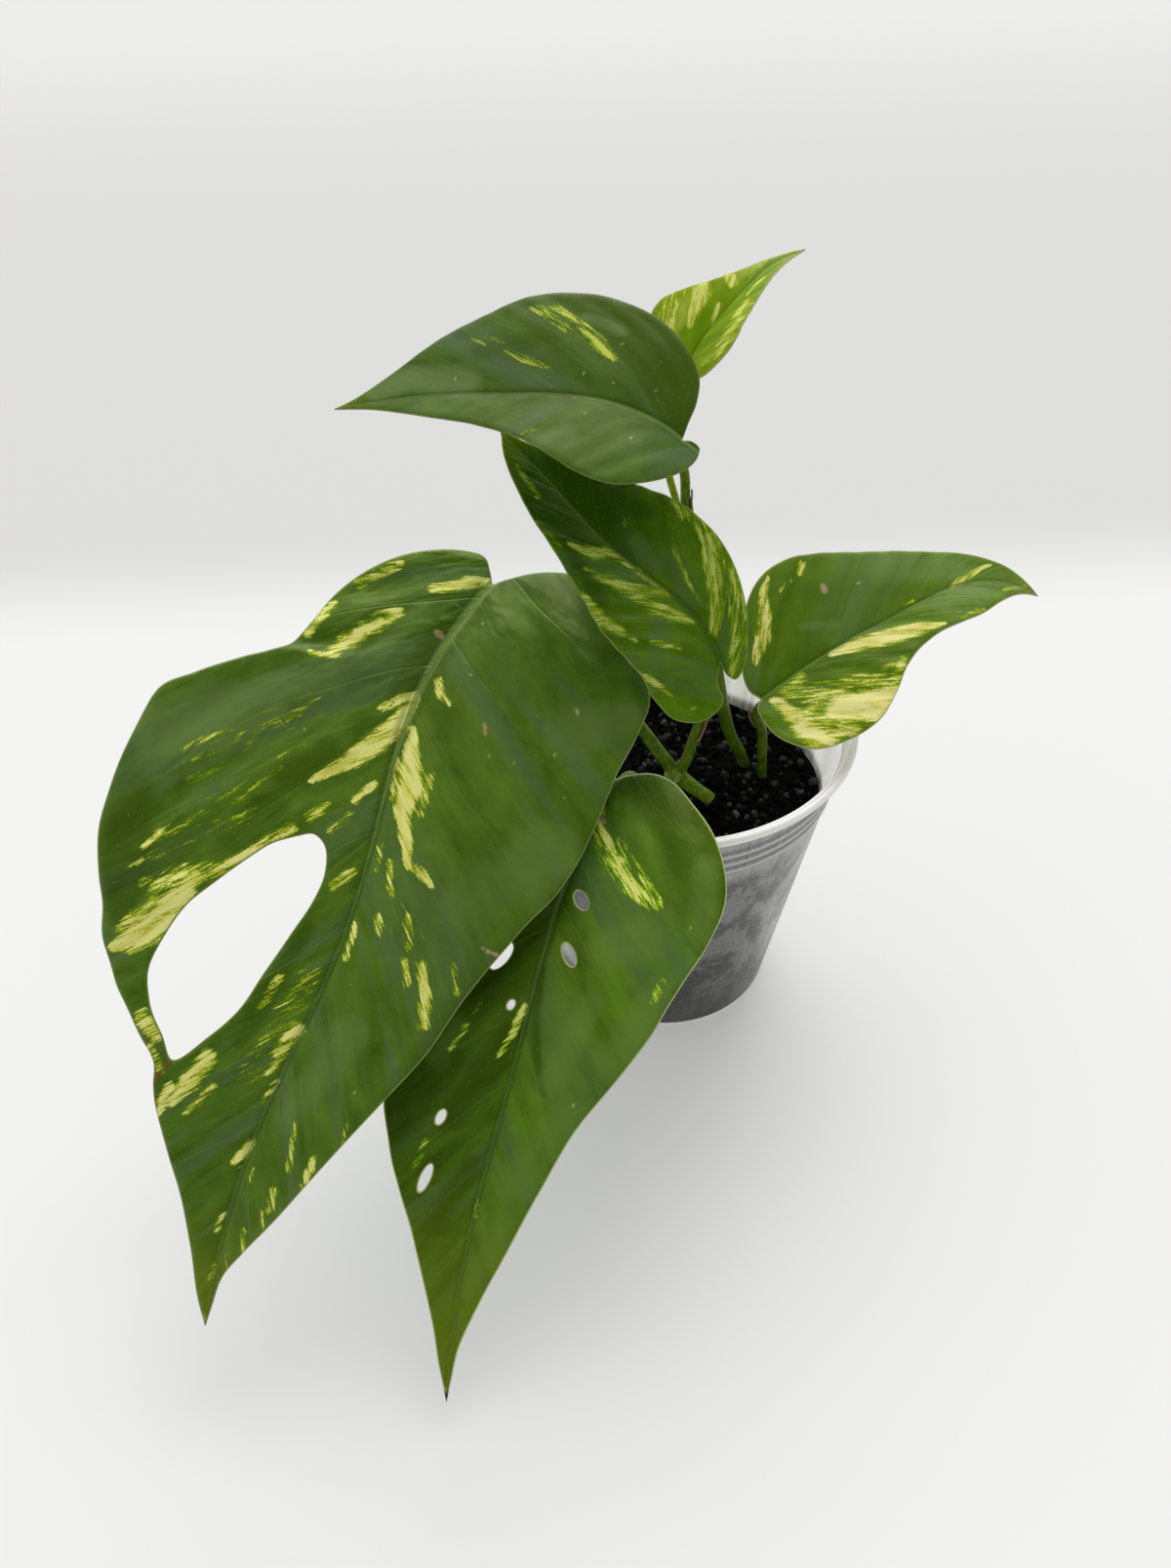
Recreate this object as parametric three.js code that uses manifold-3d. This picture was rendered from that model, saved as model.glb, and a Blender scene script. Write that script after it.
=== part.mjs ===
// A potted variegated Epipremnum pinnatum: a rooted cutting with six leaves in a tapered clear nursery cup of soil.
// Millimetres, +Z up. The origin is the middle of the cup's underside, and the plant's front faces -Y.
import * as THREE from 'three';
import { mergeVertices } from 'three/addons/utils/BufferGeometryUtils.js';
import Module from 'manifold-3d';

const wasm = await Module();
wasm.setup();

// Driving dimensions of the cup
const POT_HEIGHT = 86;
const RIM_RADIUS = 47.5;
const RIM_INNER_RADIUS = 44.8;
const SHOULDER_RADIUS = 43.9;
const SHOULDER_HEIGHT = 80;
const BASE_RADIUS = 29.6;
const BASE_ROUNDING = 1.8;
const WALL = 0.9;
const FLOOR = 1.6;
const RING_HEIGHTS = [71, 74, 77];
const RING_PROUD = 0.5;
const POT_SEGMENTS = 48;
const DRAIN_HOLES = 5;
const DRAIN_RADIUS = 2.6;
const DRAIN_CIRCLE = 17;

// Driving dimensions of the soil and of the clearances
const SOIL_HEIGHT = 66;
const CRUMB_HEIGHT = 1.5;
const SOIL_RINGS = 13;
const CLEAR = 0.3;
const HOLE_CLEAR = 0.35;
const HOLE_DEPTH = 2;

// Driving dimensions of the blades
const BLADE = 0.7;
const MEET = 1.2;
const LEAF_GREEN = 0x2f5a22;
const STEM_GREEN = 0x5b7a2c;

// Leaf shapes. The spine is the midrib's rough course as a cubic curve, from the blade's base to its tip.
// sway moves the midrib sideways in one, two and three half waves. roll, fold and curl are given at the base,
// the middle and the tip: roll turns the blade about its midrib, fold lifts each half from the midrib, in degrees,
// and curl bends it back down, in radians a millimetre. An outline runs from the petiole round the lobe to the tip,
// as [distance from the midrib, distance along it]. bulge is the height of the swellings between the side veins.
const LEAVES = {
  leaf_split: {
    spine: [[-41, 5, 123], [-67, -47, 108], [-83, -88, 69], [-104, -121, 24]],
    sway: [0, 0, 2.6],
    roll: [-13, -13, -9],
    fold: [14, 8, 6],
    curl: { left: [0.011, 0.009, 0.006], right: [0.005, 0.004, 0.004] },
    left: [[0, 0], [3, -2.5], [8, -6], [14, -9], [20, -9.5], [27, -4.5], [36, 3], [44, 9], [48, 15], [49, 24],
      [48, 36], [46, 52], [42, 65], [35, 78], [29, 93], [26, 107], [22, 119], [16.5, 134], [11, 147], [5.5, 157],
      [1.8, 164], [0.8, 170]],
    right: [[0, 0], [2, -2.6], [5, -5.4], [11, -3.5], [18, 2], [24, 11], [27.5, 20], [28.6, 30], [31, 36.5],
      [38, 42], [47, 48], [54, 53], [57, 63], [59, 75], [57, 88], [51.5, 98], [48, 105], [41, 113], [31, 122],
      [26, 126.5], [24, 131], [21.5, 136], [16, 143.5], [10.5, 152], [6.6, 160], [3.2, 169], [1.4, 172.5]],
    base: 36,
    bulge: 1.1,
    rows: 24,
    fan: 10,
    columns: 6,
    keel: 1.5,
    petiole: 1.6,
  },
  leaf_low: {
    spine: [[-14, -33, 94], [-36, -74, 80], [-47, -98, 38], [-55, -131, 7]],
    sway: [0, -0.3, 0.8],
    roll: [-4, -6, -6],
    fold: [12, 8, 6],
    curl: { left: [0.007, 0.005, 0.004], right: [0.007, 0.005, 0.004] },
    left: [[0, 0], [3, -2], [8, -3.4], [13, -2.8], [19, 0.8], [26, 6], [31, 12], [34, 18], [34.8, 24], [33.5, 32],
      [30, 43], [27, 53], [22.5, 63.5], [16.5, 77], [12.5, 92], [8.5, 107], [4.5, 119], [1.6, 128], [0.7, 134]],
    right: [[0, 0], [3, -2.4], [8, -4], [14, -3.2], [21, 1], [28, 8], [33, 16], [36, 27], [36.5, 40], [34, 54],
      [30, 68], [25, 82], [19, 94.5], [13, 104.5], [8, 115], [4.5, 124], [2.3, 132], [1, 136]],
    base: 26,
    bulge: 0.9,
    rows: 17,
    fan: 8,
    columns: 5,
    keel: 1.2,
    petiole: 1.4,
  },
  leaf_top: {
    spine: [[2, 0, 159], [-19, 2, 175], [-45, 1, 170], [-70, 1, 168]],
    sway: [0, 0, 0.5],
    roll: [-26, -26, -20],
    fold: [12, 8, 6],
    curl: { left: [0.008, 0.006, 0.004], right: [0.008, 0.006, 0.004] },
    left: [[0, 0], [-1.2, -2.2], [-0.8, -4.4], [3.5, -4.2], [11, -0.5], [18.5, 7], [22, 15], [21, 22], [17, 29],
      [12.5, 36], [9, 45], [5.5, 57], [2, 66], [0.8, 71]],
    right: [[0, 0], [4, 0.4], [10, 0.6], [15.5, 2], [20, 5.5], [24, 11], [26, 18], [26.4, 25], [25, 34], [20, 43],
      [13.8, 53], [6.4, 63], [1.8, 70]],
    base: 13,
    bulge: 0.5,
    rows: 13,
    fan: 6,
    columns: 4,
    keel: 0.9,
    petiole: 1.1,
  },
  leaf_middle: {
    spine: [[10, -19, 115], [2, -8, 133], [-25, -3, 142], [-37, 13, 157]],
    sway: [-0.4, -0.6, 1.0],
    roll: [-22, -22, -16],
    fold: [18, 12, 7],
    curl: { left: [0.012, 0.010, 0.006], right: [0.004, 0.004, 0.004] },
    left: [[0, 0], [2.4, -3.6], [2.8, -8], [6.5, -10], [11, -9.8], [15.5, -7], [17.6, -2.5], [19.6, 6], [20.6, 16],
      [19, 25], [15, 34], [11.8, 43], [9.4, 53], [6, 61.5], [2.6, 67.5], [0.8, 70]],
    right: [[0, 0], [0.3, -3], [1.8, -4.8], [4.5, -3], [8, 3], [12, 9.5], [16, 17], [18.3, 24], [18.2, 31],
      [15.5, 39], [11.5, 48], [7, 57], [3, 65], [1, 69.5]],
    base: 14,
    bulge: 0.5,
    rows: 13,
    fan: 6,
    columns: 4,
    keel: 0.9,
    petiole: 1.25,
  },
  leaf_side: {
    spine: [[22, -9, 97], [46, 2, 104], [70, 20, 119], [96, 21, 104]],
    sway: [-0.3, 0, -0.7],
    roll: [22, 22, 16],
    fold: [14, 9, 6],
    curl: { left: [0.010, 0.008, 0.006], right: [0.010, 0.008, 0.006] },
    left: [[0, 0], [3, -1.6], [8, -0.6], [15, 5], [22, 12], [26, 20], [26.6, 28], [24, 34.5], [20, 41], [15.5, 49],
      [11, 58], [8, 68], [5.5, 75.5], [2.4, 80.5]],
    right: [[0, 0], [1.6, -2.4], [6, -3.4], [11, -3.2], [16, -0.6], [20, 3.6], [22, 11], [21.8, 18], [18, 26],
      [14, 32], [11, 39], [10, 46], [10.4, 54], [10, 61], [7, 69], [2.6, 77.5], [1, 81]],
    base: 14,
    bulge: 0.5,
    rows: 15,
    fan: 6,
    columns: 4,
    keel: 0.9,
    petiole: 1.1,
  },
  leaf_young: {
    spine: [[5, 27, 163], [11, 34, 174], [22, 40, 181], [34, 49, 182]],
    sway: [0.4, 0.4, -0.4],
    roll: [0, 0, 0],
    fold: [24, 20, 12],
    curl: { left: [0.012, 0.010, 0.006], right: [0.012, 0.010, 0.006] },
    left: [[0, 0], [4, -0.6], [9, 2.6], [13.6, 6.8], [14.6, 11], [12, 15.6], [7.6, 21], [4.2, 27], [1.8, 34],
      [0.8, 39.5]],
    right: [[0, 0], [3, -1.8], [7, -0.6], [11, 4.4], [12.2, 9], [10.5, 14], [8.4, 20], [6, 27], [3.2, 34.5],
      [1, 40]],
    base: 7,
    bulge: 0.2,
    rows: 11,
    fan: 5,
    columns: 4,
    keel: 0.6,
    petiole: 0.85,
  },
};

// Openings through the blades, on the right of the midrib where x is positive.
// The split leaf's opening is an outline, and the low leaf's are ellipses [x, y, half width, half length, turn].
const SPLIT_OPENING = [[16, 73], [12.5, 71.4], [9.6, 73], [8, 78.5], [8.6, 85], [10.6, 92.5], [12.4, 101],
  [14, 110], [17.5, 117.5], [22.5, 124.5], [27, 120], [32.5, 114.5], [35.6, 108], [35.6, 101], [33.6, 93.5],
  [29.5, 87], [24.5, 80.5], [20.5, 76]];
const LOW_OPENINGS = [
  [-4.7, 29.6, 1.4, 2.4, 50],
  [-5.7, 41.5, 1.35, 2.7, 42],
  [8.7, 46.2, 1.6, 3.5, -25],
  [3.9, 55.3, 0.75, 1.15, -20],
  [12.2, 81.6, 0.95, 1.7, -14],
  [12, 94.6, 1.05, 3.1, -10],
];

// Stem and petiole courses. Each petiole ends at its blade's base, so only the points before that are given.
const NODE = [2.1, -5.2, 71.4];
const NODE_RADIUS = 2.9;
const FORK = [4.6, 7.6, 129.5];
const FORK_RADIUS = 1.9;
const STUB = [[2.1, -5.2, 71.4], [6.5, -8.5, 69.4], [10.8, -11.8, 67.9]];
const STUB_RADII = [2.05, 1.8, 1.7];
const SHOOT = [[2.1, -5.2, 71.4], [4.4, -6, 76], [6.2, -6.2, 83], [8.2, -4.8, 91], [7.8, 0, 107],
  [5.6, 5.6, 122], [4.6, 7.6, 129.5]];
const SHOOT_RADII = [1.7, 1.4, 1.25, 1.2, 1.2, 1.2, 1.4];
const BURIED_STEM = [[2.1, -5.2, 71.4], [1.2, -4.6, 64], [-1, -3, 54], [-4, -1, 44]];
const BURIED_RADII = [2.3, 2.3, 2.2, 2.0];
const PETIOLES = {
  petiole_split: {
    leaf: 'leaf_split',
    course: [[-6.4, -3.6, 85], [-18, 2.5, 101], [-29, 6.6, 111.6], [-36.4, 6.4, 116.8]],
    radius: 1.65,
    from: NODE,
    fromRadius: NODE_RADIUS,
  },
  petiole_low: {
    leaf: 'leaf_low',
    course: [[-4, -19, 54], [-4.6, -20.5, 68], [-7, -23, 80], [-10.6, -27, 89.4]],
    radius: 1.5,
  },
  petiole_top: {
    leaf: 'leaf_top',
    course: [[3.9, 6.8, 140], [3, 4.6, 150]],
    radius: 1.15,
    from: FORK,
    fromRadius: FORK_RADIUS,
    lean: [0.8, -0.5],
  },
  petiole_middle: {
    leaf: 'leaf_middle',
    course: [[23, 7, 54], [21, 5.6, 66], [16.2, -0.6, 80], [12.9, -7.4, 94], [10.8, -13.8, 105]],
    radius: 1.6,
  },
  petiole_side: {
    leaf: 'leaf_side',
    course: [[26.6, 3.2, 54], [25.5, 1.2, 66], [23.9, -2.5, 82], [21.6, -6.4, 91.6]],
    radius: 1.3,
  },
  petiole_young: {
    leaf: 'leaf_young',
    course: [[2.2, 9.4, 139], [0.2, 12, 147], [1.4, 18.4, 155.6]],
    radius: 0.9,
    from: FORK,
    fromRadius: FORK_RADIUS,
    lean: [-1.4, 1.1],
  },
};

// Roots: the number at each buried stem, their length and their thickness.
const ROOT_COUNT = 4;
const ROOT_RADIUS = 0.9;
const FRONT_ROOT_SPREAD = 15;
const REAR_ROOT_SPREAD = 8;
const ROOT_DROP = 24;
const REAR_STEM = [[24.4, 5, 52.4], [23.2, 5, 46], [21, 5, 38]];
const REAR_STEM_RADII = [2.6, 2.4, 2.0];

// Dry sheaths: [petiole or shoot, start and end as shares of its course, side in degrees, width in degrees, radius].
const SHEATHS = {
  sheath_shoot: { along: 'shoot', from: 0.21, to: 0.33, side: -15, span: 110, flare: 0.5 },
  sheath_fork: { along: 'petiole_top', from: 0.16, to: 0.5, side: -10, span: 80, flare: 0.05 },
  sheath_side: { along: 'petiole_side', from: 0.76, to: 0.9, side: 170, span: 90, flare: 0.4 },
};
const SHEATH_THICKNESS = 0.6;

const plant = new THREE.Group();
plant.name = 'potted_epipremnum';

// Repeatable pseudo-random number from 0 to 1 for a pair of whole numbers
function hash(i, j) {
  const s = Math.sin(i * 127.1 + j * 311.7) * 43758.5453;
  return s - Math.floor(s);
}

// Value at share t of a list that is spread evenly from 0 to 1
function blend(list, t) {
  const place = Math.min(Math.max(t, 0), 1) * (list.length - 1);
  const i = Math.min(Math.floor(place), list.length - 2);
  return list[i] + (list[i + 1] - list[i]) * (place - i);
}

function toVectors(points) {
  return points.map((p) => new THREE.Vector3(...p));
}

function geometryOf(positions, triangles) {
  const geometry = new THREE.BufferGeometry();
  geometry.setAttribute('position', new THREE.Float32BufferAttribute(positions, 3));
  geometry.setIndex(triangles);
  geometry.computeVertexNormals();
  return geometry;
}

function toSolid(geometry) {
  const bare = geometry.clone();
  bare.deleteAttribute('normal');
  bare.deleteAttribute('uv');
  const merged = mergeVertices(bare, 1e-4);
  const vertProperties = new Float32Array(merged.attributes.position.array);
  const index = merged.index.array;
  const kept = [];
  for (let i = 0; i < index.length; i += 3) {
    const [a, b, c] = [index[i], index[i + 1], index[i + 2]];
    if (a !== b && b !== c && c !== a) kept.push(a, b, c);
  }
  return new wasm.Manifold(new wasm.Mesh({ numProp: 3, vertProperties, triVerts: new Uint32Array(kept) }));
}

function toGeometry(solid) {
  const mesh = solid.getMesh();
  return geometryOf(Array.from(mesh.vertProperties), Array.from(mesh.triVerts));
}

function add(name, geometry, color, roughness) {
  const material = new THREE.MeshStandardMaterial({ color, roughness, metalness: 0 });
  const mesh = new THREE.Mesh(geometry, material);
  mesh.name = name;
  plant.add(mesh);
  return mesh;
}

// Closed solid of a profile [radius, height] turned about Z, where the first and last points lie on the axis
function revolve(profile, segments, height = (r, a, z) => z) {
  const positions = [];
  const triangles = [];
  const inner = profile.slice(1, -1);
  for (const [r, z] of inner) {
    for (let s = 0; s < segments; s++) {
      const a = (2 * Math.PI * s) / segments;
      positions.push(r * Math.cos(a), r * Math.sin(a), height(r, a, z));
    }
  }
  const first = inner.length * segments;
  const last = first + 1;
  positions.push(0, 0, height(0, 0, profile[0][1]), 0, 0, height(0, 0, profile[profile.length - 1][1]));
  for (let s = 0; s < segments; s++) {
    const next = (s + 1) % segments;
    triangles.push(first, next, s);
    for (let i = 0; i < inner.length - 1; i++) {
      const a = i * segments;
      const b = a + segments;
      triangles.push(a + s, a + next, b + s, a + next, b + next, b + s);
    }
    const top = (inner.length - 1) * segments;
    triangles.push(last, top + s, top + next);
  }
  return geometryOf(positions, triangles);
}

// Closed tube along a curve through points, whose radius changes evenly through the radii
function tube(points, radii, sides, steps) {
  const curve = new THREE.CatmullRomCurve3(toVectors(points), false, 'centripetal');
  const frames = curve.computeFrenetFrames(steps, false);
  const positions = [];
  const triangles = [];
  for (let i = 0; i <= steps; i++) {
    const centre = curve.getPointAt(i / steps);
    const r = blend(radii, i / steps);
    for (let s = 0; s < sides; s++) {
      const a = (2 * Math.PI * s) / sides;
      const p = centre.clone()
        .addScaledVector(frames.normals[i], r * Math.cos(a))
        .addScaledVector(frames.binormals[i], r * Math.sin(a));
      positions.push(p.x, p.y, p.z);
    }
  }
  for (const i of [0, steps]) positions.push(...curve.getPointAt(i / steps).toArray());
  const start = (steps + 1) * sides;
  for (let s = 0; s < sides; s++) {
    const next = (s + 1) % sides;
    for (let i = 0; i < steps; i++) {
      const a = i * sides;
      const b = a + sides;
      triangles.push(a + s, a + next, b + s, a + next, b + next, b + s);
    }
    triangles.push(start, next, s);
    triangles.push(start + 1, steps * sides + s, steps * sides + next);
  }
  return geometryOf(positions, triangles);
}

function ball(centre, radius) {
  const geometry = new THREE.IcosahedronGeometry(radius, 1);
  geometry.translate(...centre);
  return geometry;
}

// The bent sheet of a leaf: where a point of the flat blade lies in space, and the way its upper face looks
class Sheet {
  constructor(leaf) {
    this.leaf = leaf;
    this.curve = new THREE.CubicBezierCurve3(...toVectors(leaf.spine));
    this.length = this.curve.getLength();
  }

  frame(y) {
    const t = this.curve.getUtoTmapping(Math.min(Math.max(y / this.length, 0), 1));
    const along = this.curve.getTangent(t);
    const side = along.clone().cross(new THREE.Vector3(0, 0, 1)).normalize();
    const up = side.clone().cross(along);
    const roll = THREE.MathUtils.degToRad(blend(this.leaf.roll, t));
    const across = side.clone().multiplyScalar(Math.cos(roll)).addScaledVector(up, -Math.sin(roll));
    const normal = up.clone().multiplyScalar(Math.cos(roll)).addScaledVector(side, Math.sin(roll));
    const beyond = y - Math.min(Math.max(y, 0), this.length);
    const centre = this.curve.getPoint(t).addScaledVector(along, beyond);
    return { t, along, across, normal, centre };
  }

  // Height of the soft swellings between the side veins, which leave the midrib slanting towards the tip
  bulge(x, y) {
    const { bulge } = this.leaf;
    const reach = Math.abs(x) / this.width;
    const vein = (y - Math.abs(x) * (0.55 + 0.45 * reach)) / (this.length * 0.1);
    const fade = Math.min(1, reach * 2.5) * Math.max(0, 1 - Math.max(y, 0) / this.length);
    return bulge * fade * (Math.sin(Math.PI * vein) ** 2 - 0.5);
  }

  get width() {
    return Math.max(...this.leaf.left.map((p) => p[0]), ...this.leaf.right.map((p) => p[0]));
  }

  point(x, y, lift = 0) {
    const { t, across, normal, centre } = this.frame(y);
    const fold = THREE.MathUtils.degToRad(blend(this.leaf.fold, t));
    const curl = blend(x < 0 ? this.leaf.curl.left : this.leaf.curl.right, t);
    const reach = Math.abs(x);
    const sideways = (Math.sin(fold) - Math.sin(fold - curl * reach)) / curl;
    const height = (Math.cos(fold - curl * reach) - Math.cos(fold)) / curl;
    const sway = this.leaf.sway.reduce((sum, s, i) => sum + s * Math.sin((i + 1) * Math.PI * t), 0);
    const tilt = Math.sign(x) * (fold - curl * reach);
    const out = normal.clone().multiplyScalar(Math.cos(tilt)).addScaledVector(across, -Math.sin(tilt));
    return centre
      .addScaledVector(across, sway + Math.sign(x) * sideways)
      .addScaledVector(normal, height + this.bulge(x, y))
      .addScaledVector(out, lift);
  }
}

function smoothOutline(points) {
  const curve = new THREE.CatmullRomCurve3(points.map(([x, y]) => new THREE.Vector3(x, y, 0)), false, 'centripetal');
  return curve.getPoints(points.length * 8).map((p) => [p.x, p.y]);
}

function pathLength(path) {
  let length = 0;
  for (let i = 1; i < path.length; i++) {
    length += Math.hypot(path[i][0] - path[i - 1][0], path[i][1] - path[i - 1][1]);
  }
  return length;
}

function atLength(path, wanted) {
  let length = 0;
  for (let i = 1; i < path.length; i++) {
    const step = Math.hypot(path[i][0] - path[i - 1][0], path[i][1] - path[i - 1][1]);
    if (length + step >= wanted) {
      const s = (wanted - length) / step;
      return [path[i - 1][0] + (path[i][0] - path[i - 1][0]) * s, path[i - 1][1] + (path[i][1] - path[i - 1][1]) * s];
    }
    length += step;
  }
  return path[path.length - 1];
}

function atHeight(path, y) {
  for (let i = path.length - 1; i > 0; i--) {
    const [low, high] = [path[i - 1], path[i]];
    if (low[1] <= y && high[1] >= y) {
      const s = (y - low[1]) / (high[1] - low[1] || 1);
      return [low[0] + (high[0] - low[0]) * s, y];
    }
  }
  return path[path.length - 1];
}

// Flat blade as rows of points from the midrib to the margin: fans round the base, then rows slanting like the veins
function bladeRows(leaf, length, side) {
  const outline = smoothOutline([...leaf[side], [0, length]]);
  const lobe = outline.slice(0, outline.findIndex((p) => p[1] >= leaf.base && p[1] > 0) + 1);
  const rows = [];
  for (let i = 1; i <= leaf.fan; i++) {
    rows.push({ foot: 0, end: atLength(lobe, (pathLength(lobe) * i) / (leaf.fan + 1)) });
  }
  for (let i = 0; i < leaf.rows; i++) {
    const share = i / leaf.rows;
    rows.push({ foot: length * share, end: atHeight(outline, leaf.base + (length - leaf.base) * share) });
  }
  return rows;
}

// Closed blade: upper and lower faces with the same triangles, joined along the margin, with a keel under the midrib
function blade(sheet) {
  const { leaf, length } = sheet;
  const positions = [];
  const triangles = [];
  const seen = new Map();
  const vertex = (x, y, upper) => {
    const key = `${x.toFixed(3)},${y.toFixed(3)},${upper}`;
    if (seen.has(key)) return seen.get(key);
    const along = Math.min(Math.max(y / length, 0), 1);
    const keel = leaf.keel * (1 - along) * Math.exp(-((x / (leaf.keel * 1.1)) ** 2)) * Math.min(1, y + 1);
    const lift = upper ? BLADE / 2 : -BLADE / 2 - Math.max(0, keel);
    positions.push(...sheet.point(x, y, lift).toArray());
    seen.set(key, positions.length / 3 - 1);
    return positions.length / 3 - 1;
  };
  const face = (a, b, c, flip) => {
    for (const upper of [true, false]) {
      const [i, j, k] = [a, b, c].map((p) => vertex(p[0], p[1], upper));
      if (i === j || j === k || k === i) continue;
      triangles.push(...(upper === flip ? [i, k, j] : [i, j, k]));
    }
  };
  for (const side of ['left', 'right']) {
    const sign = side === 'left' ? -1 : 1;
    const rows = bladeRows(leaf, length, side);
    const points = rows.map(({ foot, end }) => {
      const near = leaf.keel * 1.3 * (1 - foot / length) + 0.3;
      const row = [[0, foot]];
      for (let j = 0; j < leaf.columns; j++) {
        const share = j / (leaf.columns - 1);
        const first = Math.min(0.3, near / Math.hypot(end[0], end[1] - foot));
        const s = first + (1 - first) * share;
        row.push([sign * end[0] * s, foot + (end[1] - foot) * s]);
      }
      return row;
    });
    for (let i = 0; i < points.length - 1; i++) {
      for (let j = 0; j < leaf.columns; j++) {
        const [a, b, c, d] = [points[i][j], points[i][j + 1], points[i + 1][j + 1], points[i + 1][j]];
        face(a, b, c, side === 'left');
        face(a, c, d, side === 'left');
      }
    }
    const final = points[points.length - 1];
    const tip = [0, length];
    for (let j = 0; j < leaf.columns; j++) face(final[j], final[j + 1], tip, side === 'left');
    const margin = [points[0][0], ...points[0].slice(1), ...points.slice(1).map((row) => row[leaf.columns]), tip];
    for (let i = 0; i < margin.length - 1; i++) {
      const [a, b] = [margin[i], margin[i + 1]];
      const [p, q] = [vertex(a[0], a[1], true), vertex(b[0], b[1], true)];
      const [r, s] = [vertex(a[0], a[1], false), vertex(b[0], b[1], false)];
      triangles.push(...(side === 'left' ? [p, q, s, p, s, r] : [p, s, q, p, r, s]));
    }
  }
  return geometryOf(positions, triangles);
}

// Closed block that follows the blade through its thickness, to cut an opening of a flat outline
function cutter(sheet, outline) {
  const reach = 7;
  const flat = outline.map(([x, y]) => new THREE.Vector2(x, y));
  if (THREE.ShapeUtils.isClockWise(flat)) flat.reverse();
  const caps = THREE.ShapeUtils.triangulateShape(flat, []);
  const positions = [];
  for (const lift of [reach, -reach]) {
    for (const p of flat) positions.push(...sheet.point(p.x, p.y, lift).toArray());
  }
  const n = flat.length;
  const triangles = [];
  for (const [a, b, c] of caps) triangles.push(a, b, c, n + a, n + c, n + b);
  for (let i = 0; i < n; i++) {
    const next = (i + 1) % n;
    triangles.push(i, n + i, n + next, i, n + next, next);
  }
  const solid = toSolid(geometryOf(positions, triangles));
  return solid;
}

function ellipse([x, y, halfWidth, halfLength, turn]) {
  const outline = [];
  const angle = THREE.MathUtils.degToRad(turn);
  for (let i = 0; i < 10; i++) {
    const a = (2 * Math.PI * i) / 10;
    const u = halfWidth * Math.cos(a);
    const v = halfLength * Math.sin(a);
    outline.push([x + u * Math.cos(angle) - v * Math.sin(angle), y + u * Math.sin(angle) + v * Math.cos(angle)]);
  }
  return outline;
}

function wallRadius(z) {
  return BASE_RADIUS + ((SHOULDER_RADIUS - BASE_RADIUS) * z) / SHOULDER_HEIGHT;
}

// Cup: flat base with drain holes, tapered wall, stacking rings under a rolled rim
function buildPot() {
  const rings = RING_HEIGHTS.flatMap((z) => [
    [wallRadius(z - 0.8), z - 0.8],
    [wallRadius(z) + RING_PROUD, z],
    [wallRadius(z + 0.7), z + 0.7],
  ]);
  const rimTop = POT_HEIGHT;
  const rim = [
    [SHOULDER_RADIUS, SHOULDER_HEIGHT],
    [RIM_RADIUS - 2.1, rimTop - 2.4],
    [RIM_RADIUS - 0.5, rimTop - 2.0],
    [RIM_RADIUS, rimTop - 1.1],
    [RIM_RADIUS - 0.4, rimTop - 0.3],
    [RIM_RADIUS - 1.3, rimTop],
    [RIM_INNER_RADIUS + 0.3, rimTop - 0.4],
    [RIM_INNER_RADIUS - 0.1, rimTop - 1.4],
  ];
  const profile = [
    [0, 0],
    [BASE_RADIUS - BASE_ROUNDING, 0],
    [BASE_RADIUS - 0.5, 0.5],
    [wallRadius(BASE_ROUNDING), BASE_ROUNDING],
    ...rings,
    ...rim,
    [SHOULDER_RADIUS - WALL, SHOULDER_HEIGHT],
    [wallRadius(FLOOR + 1.5) - WALL, FLOOR + 1.5],
    [BASE_RADIUS - WALL - 1.2, FLOOR],
    [0, FLOOR],
  ];
  let pot = toSolid(revolve(profile, POT_SEGMENTS));
  for (let i = 0; i < DRAIN_HOLES; i++) {
    const a = (2 * Math.PI * (i + 0.5)) / DRAIN_HOLES;
    const hole = new THREE.CylinderGeometry(DRAIN_RADIUS, DRAIN_RADIUS, FLOOR * 4, 12);
    hole.rotateX(Math.PI / 2);
    hole.translate(DRAIN_CIRCLE * Math.cos(a), DRAIN_CIRCLE * Math.sin(a), FLOOR / 2);
    pot = pot.subtract(toSolid(hole));
  }
  add('pot', toGeometry(pot), 0xe8e8e4, 0.35);
}

// Soil: a plug that fills the cup, with a crumbly top, and plain holes for the stems and roots
function buildSoil(holes) {
  const topRadius = wallRadius(SOIL_HEIGHT) - WALL - CLEAR;
  const profile = [[0, FLOOR + CLEAR], [BASE_RADIUS - WALL - 1.8, FLOOR + CLEAR]];
  profile.push([wallRadius(FLOOR + 1.8) - WALL - CLEAR, FLOOR + 1.8]);
  profile.push([topRadius, SOIL_HEIGHT - 1]);
  for (let i = 1; i < SOIL_RINGS; i++) profile.push([topRadius * (1 - i / SOIL_RINGS) ** 0.9, SOIL_HEIGHT]);
  profile.push([0, SOIL_HEIGHT]);
  const crumbs = (r, a, z) => {
    if (z < SOIL_HEIGHT) return z;
    const heap = 0.8 * Math.cos((r / topRadius) * 2.2 + 0.5 * Math.sin(a));
    return z + heap + CRUMB_HEIGHT * (hash(Math.round(r * 3), Math.round(a * 20)) - 0.6);
  };
  let soil = toSolid(revolve(profile, POT_SEGMENTS, crumbs));
  for (const hole of holes) soil = soil.subtract(toSolid(hole));
  add('soil', toGeometry(soil), 0x1b1816, 0.95);
}

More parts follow.
